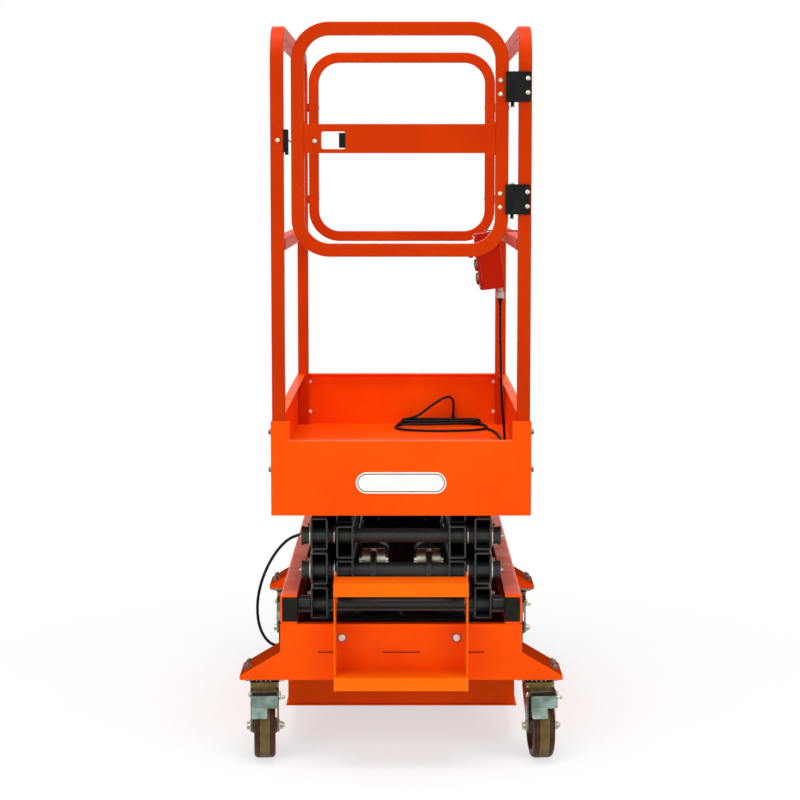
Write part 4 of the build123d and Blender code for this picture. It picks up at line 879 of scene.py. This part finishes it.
# The scissor is three stages of black 76 by 40 mm tube arms. Bushes are welded through
# the arms, and cross tubes, washers and greased pins tie each pair together. Nylon
# rollers run in the base's rails and in the deck's channels.
rounded("base_pivot_bosses", "base_pin_bosses", 0.0010, black_paint)
arm_tube, outer_face = 0.040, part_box("outer_arms_middle")[1][0]
inner_face = outer_face - 0.060
first_pin_z, stage_tall, front_pin_y, back_pin_y = 0.358, 0.082, -0.476, 0.56076
bush_weld, small_weld = 0.0203, 0.0175
keeper_along, keeper_rise, keeper_thick, arm_slant = 0.040, 0.012, 0.003, 0.0789
wide_washer_rows = [
    (0.0201, 0), (0.0262, 0), (0.0265, 0.0006), (0.0265, 0.0022), (0.0258, 0.0028), (0.0201, 0.0028),
    (0.0201, 0),
]
thin_washer_rows = [
    (0.0201, 0), (0.0240, 0), (0.0243, 0.0006), (0.0243, 0.0020), (0.0238, 0.0026), (0.0201, 0.0026),
    (0.0201, 0),
]
nipple_rows = [
    (0, 0), (0.0050, 0), (0.0050, 0.0020), (0.0030, 0.0024), (0.0030, 0.0042), (0.0022, 0.0050),
    (0.0027, 0.0058), (0.0018, 0.0066), (0, 0.0068),
]
wide_washer_x, thin_washer_x, nipple_x = 0.2130, 0.1560, 0.2350


def ring_weld(shape, x, pin, radius, across=0.0052, parts=24):
    """A closed weld bead round a bush, on the arm's face at x."""
    angles = [2 * pi * k / parts for k in range(parts)]
    bead(shape, [(x, pin[0] + radius * cos(angle), pin[1] + radius * sin(angle)) for angle in angles],
         across, closed=True)


for level, stage in enumerate(("lower", "middle", "upper")):
    low_z = first_pin_z + stage_tall * level
    high_z = low_z + stage_tall
    outer_ends = ((front_pin_y, low_z), (back_pin_y, high_z))
    inner_ends = ((back_pin_y, low_z), (front_pin_y, high_z))
    centre = ((front_pin_y + back_pin_y) / 2, (low_z + high_z) / 2)
    for pair, ends, face_x in (("outer", outer_ends, outer_face), ("inner", inner_ends, inner_face)):
        rounded(f"{pair}_arms_{stage}", f"{pair}_{stage}_arms", 0.0009, black_paint)
        welds, washers, nipples = bmesh.new(), bmesh.new(), bmesh.new()
        for side in (-1, 1):
            for pin in (*ends, centre):
                ring_weld(welds, side * face_x, pin, bush_weld)
                full = pair == "outer" or pin == centre
                ring_weld(welds, side * (face_x - arm_tube), pin, bush_weld if full else small_weld)
            if pair == "outer":
                # keeper plates and their screws beside the low and high pins
                for (pin_y, pin_z), toward in zip(ends, (1, -1)):
                    keep_y = pin_y + toward * keeper_along
                    keep_z = pin_z + toward * (keeper_along * arm_slant + keeper_rise)
                    slab(washers, [(side * outer_face, keep_y + y, keep_z + z)
                                   for y, z in rounded_outline(0.034, 0.022, 0.004)],
                         (side * keeper_thick, 0, 0))
                    bolt(washers, (side * (outer_face + keeper_thick), keep_y, keep_z), (side, 0, 0),
                         0.012, 0.0065, 0.010)
            else:
                # washers between this arm and its partner, and the greased end of each pin
                if stage != "upper":
                    turned(washers, (side * wide_washer_x, *ends[1]), (side, 0, 0), wide_washer_rows, 40)
                    turned(nipples, (side * nipple_x, *ends[1]), (side, 0, 0), nipple_rows, 16)
                for pin in ends:
                    turned(washers, (side * thin_washer_x, *pin), (side, 0, 0), thin_washer_rows, 40)
                bolt(washers, (side * inner_face, centre[0] + 0.045, centre[1] - 0.003), (side, 0, 0),
                     0.010, 0.005, 0.0085)
        body = f"{pair}_{stage}"
        washer_zinc = bright_zinc if pair == "inner" else clevis_zinc
        made(welds, f"{body}_bush_welds", black_paint, body)
        made(washers, f"{body}_washers", washer_zinc, body, 0.0003)
        if nipples.verts:
            made(nipples, f"{body}_grease_nipples", bright_zinc, body)
        else:
            nipples.free()
roller_nylon = rubbery("roller_nylon", (0.50, 0.48, 0.42), (0.36, 0.33, 0.28), (0.35, 0.5))
rounded("base_rollers", "lower_rollers", 0.0015, roller_nylon)
rounded("deck_rollers", "upper_rollers", 0.0015, roller_nylon)

# The deck is a folded 3 mm tray: floor on cross ribs, roller channels below, and toe
# boards with turned-in lips, bolted to the posts at the corners. A blank white plate with
# round ends and a thin dark line inside its rim is bonded on the front sill.
for node, name in (
    ("deck_floor", "floor_sheet"), ("deck_channel_left", "roller_channel_left"),
    ("deck_channel_right", "roller_channel_right"), ("deck_pivot_lugs", "deck_lugs"),
    ("front_panel", "front_sill"), ("toe_board_left", "left_board"), ("toe_board_right", "right_board"),
    ("toe_board_back", "back_board"),
):
    rounded(node, name, 0.0009, sheet_paint, broad=0.0012 if "board" in node else None)
button_head = [(0, 0), (0.0058, 0), (0.0057, 0.0010), (0.0048, 0.0026), (0.0028, 0.0036), (0, 0.0040)]
panel_low, panel_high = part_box("front_panel")
guard_low, guard_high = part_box("side_guard_right")
tube_wide = guard_high[0] - guard_low[0]
guard_mid_x, board_x, board_foot_z = (guard_low[0] + guard_high[0]) / 2, panel_high[0], panel_low[2]
post_ys = (guard_low[1] + tube_wide / 2, guard_high[1] - tube_wide / 2)
post_bolt_zs, back_bolt_x = (0.774, 0.686), 0.266
rib_bolt_ys, rib_bolt_z = (-0.42, -0.14, 0.14, 0.42), board_foot_z + 0.030
shape = bmesh.new()
for side in (-1, 1):
    bolt_spots = [(post_y, bolt_z) for bolt_z in post_bolt_zs for post_y in post_ys]
    bolt_spots += [(bolt_y, rib_bolt_z) for bolt_y in rib_bolt_ys]
    for bolt_y, bolt_z in bolt_spots:
        bolt(shape, (side * board_x, bolt_y, bolt_z), (side, 0, 0), 0.0115, 0.0052, 0.0092)
made(shape, "board_bolts", dark_bolts, "deck", 0.0003)
shape = bmesh.new()
for side in (-1, 1):
    for bolt_z in post_bolt_zs:
        turned(shape, (side * back_bolt_x, guard_high[1], bolt_z), (0, -1, 0), button_head)
made(shape, "board_button_heads", pale_zinc, "deck")
plate_white = rubbery("plate_white", (0.90, 0.90, 0.87), (0.84, 0.84, 0.80), (0.30, 0.45))
plate_edge = rubbery("plate_edge", (0.030, 0.030, 0.030), (0.060, 0.058, 0.055), (0.35, 0.5))
plate_z, plate_wide, plate_tall = 0.657, 0.210, 0.050
for name, inset, stand, finish in (
    ("plate_rim", 0, 0.0008, plate_white), ("plate_line", 0.0035, 0.0011, plate_edge),
    ("blank_plate", 0.0056, 0.0014, plate_white),
):
    shape = bmesh.new()
    wide, tall = plate_wide - 2 * inset, plate_tall - 2 * inset
    slab(shape, [(x, panel_low[1], plate_z + z) for x, z in rounded_outline(wide, tall, tall / 2, 12)],
         (0, -stand, 0))
    made(shape, name, finish, "deck")
corner_x, corner_ys, corner_low_z, corner_high_z = 0.3005, (-0.5395, 0.6275), 0.600, 0.640
floor_seam_x, floor_seam_z, floor_stitches, floor_first_y, floor_apart = 0.2985, 0.6530, 7, -0.50, 0.165
shape = bmesh.new()
for side in (-1, 1):
    for corner_y in corner_ys:
        bead(shape, [(side * corner_x, corner_y, corner_low_z), (side * corner_x, corner_y, corner_high_z)],
             0.0028)
    for stitch in range(floor_stitches):
        start_y = floor_first_y + floor_apart * stitch
        bead(shape, [(side * floor_seam_x, start_y, floor_seam_z),
                     (side * floor_seam_x, start_y + stitch_long, floor_seam_z)], 0.004)
made(shape, "deck_welds", sheet_paint, "deck")

# The guards are 30 mm square tube, each side one bent hoop with a welded mid rail. The
# back guard is a rounded ring of 28 mm tube bolted between the posts on spacers.
# The tubes wear a darker, redder copy of the sheet parts' orange: painted shade for the lesser light the
# guards and gate catch.
shaded_tube_paint = sprayed("shaded_tube_paint", (0.58, 0.036, 0.0004), (0.84, 0.080, 0.004), (0.50, 0.028, 0.0004),
                     gloss=0.035)
for side in ("left", "right"):
    rounded("side_guard_" + side, "guard_hoop_" + side, None, shaded_tube_paint)
rounded("back_guard", "back_ring", None, shaded_tube_paint)
mid_rail_z, joint_half, joint_stand, joint_bead = 1.208, 0.013, 0.0152, 0.0045
spacer_zs, spacer_x, spacer_ring, spacer_parts, ring_nut_x = (1.300, 1.560), 0.2655, 0.0112, 16, 0.2411
ring_low, ring_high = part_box("back_guard")
ring_mid_y = (ring_low[1] + ring_high[1]) / 2
shape = bmesh.new()
for side in (-1, 1):
    middle_x = side * guard_mid_x
    for face_y in (guard_low[1] + tube_wide, guard_high[1] - tube_wide):
        for way in (-1, 1):
            line_z, line_x = mid_rail_z + way * joint_stand, middle_x + way * joint_stand
            bead(shape, [(middle_x - side * joint_half, face_y, line_z),
                         (middle_x + side * joint_half, face_y, line_z)], joint_bead)
            bead(shape, [(line_x, face_y, mid_rail_z - joint_half),
                         (line_x, face_y, mid_rail_z + joint_half)], joint_bead)
    for spacer_z in spacer_zs:
        angles = [2 * pi * k / spacer_parts for k in range(spacer_parts)]
        bead(shape, [(side * spacer_x, ring_mid_y + spacer_ring * cos(angle),
                      spacer_z + spacer_ring * sin(angle)) for angle in angles], 0.0036, closed=True)
made(shape, "guard_welds", shaded_tube_paint, "deck")
shape = bmesh.new()
for side in (-1, 1):
    for spacer_z in spacer_zs:
        bolt(shape, (side * guard_high[0], ring_mid_y, spacer_z), (side, 0, 0), 0.0130, 0.0060, 0.0105)
        turned(shape, (side * ring_nut_x, ring_mid_y, spacer_z), (-side, 0, 0), [
            (0, 0), (0.0062, 0), (0.0062, 0.0030), (0.0042, 0.0048), (0.0020, 0.0056), (0, 0.0056),
        ], 16)
made(shape, "guard_bolts", dark_bolts, "deck", 0.0003)

# The gate is a bent ring of 30 mm tube with a folded latch band across it. It swings
# inward on two bolted black hinges. A pull moves the latch bolt by a link behind the
# band, and the bolt enters the striker on the left post.
rounded("gate_frame", "gate_ring", None, shaded_tube_paint)
rounded("gate_band", "latch_band", 0.0007, shaded_tube_paint)
black_coating = rubbery("black_coating", (0.006, 0.008, 0.007), (0.013, 0.015, 0.013), (0.40, 0.58), 0.06)
for node, name in (
    ("gate_latch", "latch_pull"), ("latch_striker", "striker"),
    ("gate_hinge_leaves", "gate_hinges"), ("post_hinge_leaves", "post_hinges"),
):
    rounded(node, name, 0.0010, black_coating)
gate_face_y, post_face_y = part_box("gate_frame")[0][1], guard_low[1]
leaf_face_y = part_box("post_hinge_leaves")[0][1]
latch_z, band_bolt, striker_bolt_x = 1.4470, (-0.1970, gate_face_y, 1.4450), -0.2820
gate_leaf_x, gate_leaf_bolts = 0.2270, (1.5824, 1.5513, 1.3257, 1.2945)
post_leaf_x, post_leaf_bolts = 0.2890, (1.5870, 1.5550, 1.3294, 1.2966)
shape = bmesh.new()
for bolt_z in gate_leaf_bolts:
    turned(shape, (gate_leaf_x, gate_face_y, bolt_z), (0, -1, 0), button_head)
turned(shape, band_bolt, (0, -1, 0), button_head)
made(shape, "gate_bolts", clevis_zinc, "gate", 0.0003)
shape = bmesh.new()
for bolt_z in post_leaf_bolts:
    turned(shape, (post_leaf_x, leaf_face_y, bolt_z), (0, -1, 0), button_head)
turned(shape, (striker_bolt_x, post_face_y, latch_z), (0, -1, 0), button_head)
made(shape, "hinge_plate_bolts", clevis_zinc, "deck", 0.0003)
link_outline = [
    (-0.2035, 1.4195), (-0.1120, 1.4195), (-0.1120, 1.4450), (-0.1245, 1.4450), (-0.1245, 1.4265),
    (-0.1935, 1.4265), (-0.1935, 1.4540), (-0.2035, 1.4540),
]
link_y, link_thick = -0.5335, 0.003
shape = bmesh.new()
turned(shape, (-0.2575, -0.5215, latch_z), (1, 0, 0), [
    (0, 0), (0.0030, 0.0004), (0.0045, 0.0020), (0.0045, 0.0640), (0, 0.0640),
], 18)
slab(shape, [(x, link_y, z) for x, z in link_outline], (0, link_thick, 0))
turned(shape, (-0.1985, link_y + 0.0025, latch_z), (0, 1, 0), [
    (0, 0), (0.0046, 0), (0.0046, 0.0120), (0, 0.0120),
], 18)
made(shape, "latch_bolt", bright_zinc, "gate", 0.0003)
hinge_x, hinge_y, knuckle_zs, pin_foot, pin_top = 0.256, -0.502, (1.278, 1.534), 0.011, 0.0688
shape = bmesh.new()
for knuckle_z in knuckle_zs:
    turned(shape, (hinge_x, hinge_y, knuckle_z - pin_foot), (0, 0, 1), [
        (0, 0), (0.0058, 0.0004), (0.0062, 0.0012), (0.0062, 0.0028), (0.0040, 0.0032), (0, 0.0032),
    ], 20)
    turned(shape, (hinge_x, hinge_y, knuckle_z + pin_top), (0, 0, 1), [
        (0, 0), (0.0062, 0), (0.0062, 0.0016), (0.0050, 0.0030), (0, 0.0036),
    ], 20)
made(shape, "hinge_pin_ends", clevis_zinc, "deck")

# The control box hangs over the right mid rail on a strap: a red enamelled case with a
# screwed lid, a stop button, two push buttons in brass rings and a cable gland below.
red_box = sprayed("red_box", (0.44, 0.012, 0.0008), (0.62, 0.045, 0.004), (0.36, 0.009, 0.0006))
red_plastic = rubbery("red_plastic", (0.40, 0.008, 0.004), (0.46, 0.020, 0.012), (0.18, 0.30))
rounded("control_box", "pendant_case", 0.0020, red_box)
box_middle, tilt, lid_stand, lid_tall = Vector((0.229, 0.084, 1.147)), radians(7), 0.031, 0.1440
box_out = Vector((-cos(tilt), 0, -sin(tilt)))
box_up = Vector((-sin(tilt), 0, cos(tilt)))
box_back = Vector((0, 1, 0))
lid_face = box_middle + box_out * lid_stand


def on_lid(along, up, out=0.0):
    """A point on the box's lid, out from its face."""
    return lid_face + box_back * along + box_up * up + box_out * out


for name, wide, corner, finish, slot_name, sunk, thick, edge in (
    ("lid_seam", 0.0812, 0.0085, red_plastic, "red_plastic", 0.0060, 0.0036, 0.0004),
    ("box_lid", 0.0790, 0.0090, red_box, "red_box", 0.0026, 0.0046, 0.0014),
):
    shape = bmesh.new()
    slab(shape, [on_lid(y, z, -sunk) for y, z in rounded_outline(wide, lid_tall, corner)], box_out * thick)
    made(shape, name, finish, "deck", edge)
lid_screw_y, lid_screw_z, strap_bolt_y = 0.031, 0.064, 0.012
shape = bmesh.new()
for screw_y in (-lid_screw_y, lid_screw_y):
    for screw_z in (-lid_screw_z, lid_screw_z):
        turned(shape, on_lid(screw_y, screw_z, 0.0020), box_out, [
            (0, 0), (0.0034, 0), (0.0032, 0.0010), (0.0020, 0.0018), (0.0012, 0.0018), (0.0010, 0.0008),
            (0, 0.0008),
        ], 16)
strap_face_x, strap_bolt_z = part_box("control_box")[1][0], 1.2065
for bolt_y in (box_middle.y - strap_bolt_y, box_middle.y + strap_bolt_y):
    bolt(shape, (strap_face_x, bolt_y, strap_bolt_z), (1, 0, 0), 0.0080, 0.0040, 0.0065)
made(shape, "box_screws", bright_zinc, "deck", 0.0002)
rounded("stop_button", "stop_knob", 0.0010, red_plastic)
black_plastic = rubbery("black_plastic", (0.016, 0.016, 0.017), (0.035, 0.034, 0.033), (0.30, 0.45))
rounded("control_buttons", "push_buttons", 0.0015, black_plastic)
brass = plated("brass", (0.20, 0.155, 0.065), (0.11, 0.085, 0.04), (0.28, 0.45))
yellow_ring = rubbery("yellow_ring", (0.72, 0.45, 0.02), (0.60, 0.38, 0.03), (0.35, 0.5))
button_ups, stop_up, ring_stand, dot_stand = (-0.008, -0.044), 0.030, 0.0018, 0.0085
shape = bmesh.new()
for button_up in button_ups:
    turned(shape, on_lid(0, button_up, ring_stand), box_out, [
        (0.0118, 0.0062), (0.0122, 0.0070), (0.0140, 0.0066), (0.0152, 0.0048), (0.0158, 0.0012),
        (0.0158, 0), (0.0118, 0), (0.0118, 0.0062),
    ], 40)
    turned(shape, on_lid(0, button_up, dot_stand), box_out, [
        (0, 0), (0.0070, 0.0004), (0.0072, 0.0010), (0.0066, 0.0014), (0, 0.0018),
    ])
made(shape, "button_rings", brass, "deck")
shape = bmesh.new()
turned(shape, on_lid(0, stop_up, ring_stand), box_out, [
    (0.0112, 0.0036), (0.0180, 0.0036), (0.0196, 0.0028), (0.0198, 0), (0.0112, 0), (0.0112, 0.0036),
], 40)
made(shape, "stop_ring", yellow_ring, "deck")
grey_plastic = rubbery("grey_plastic", (0.42, 0.42, 0.38), (0.52, 0.51, 0.46), (0.4, 0.55))
rounded("box_cord_gland", "box_gland", 0.0010, grey_plastic)
rounded("side_cord_gland", "sill_gland", 0.0010, grey_plastic)
rounded("deck_cord_gland", "deck_gland", 0.0010, black_plastic)
boot_rings, ring_apart, boot_first, boot_taper = 6, 0.0031, 0.0066, 0.0004
boot_rows = [(0.0036, 0), (0.0074, 0)]
for ring in range(boot_rings):
    out = 0.0028 + ring_apart * ring
    size = boot_first - boot_taper * ring
    groove = size - 0.0012
    boot_rows += [(size, out - 0.0016), (size, out), (groove, out + 0.0003), (groove, out + 0.0012)]
boot_rows += [(0.0038, boot_rows[-1][1] + 0.0006), (0.0036, 0)]
shape = bmesh.new()
for cord_end, sunk, away in ((drop_points[0], 0.001, (0, 0, -1)), (loop_points[-1], 0.0005, (0, 0, 1))):
    turned(shape, Vector(cord_end) - Vector(away) * sunk, away, boot_rows)
made(shape, "gland_boots", black_rubber, "deck")
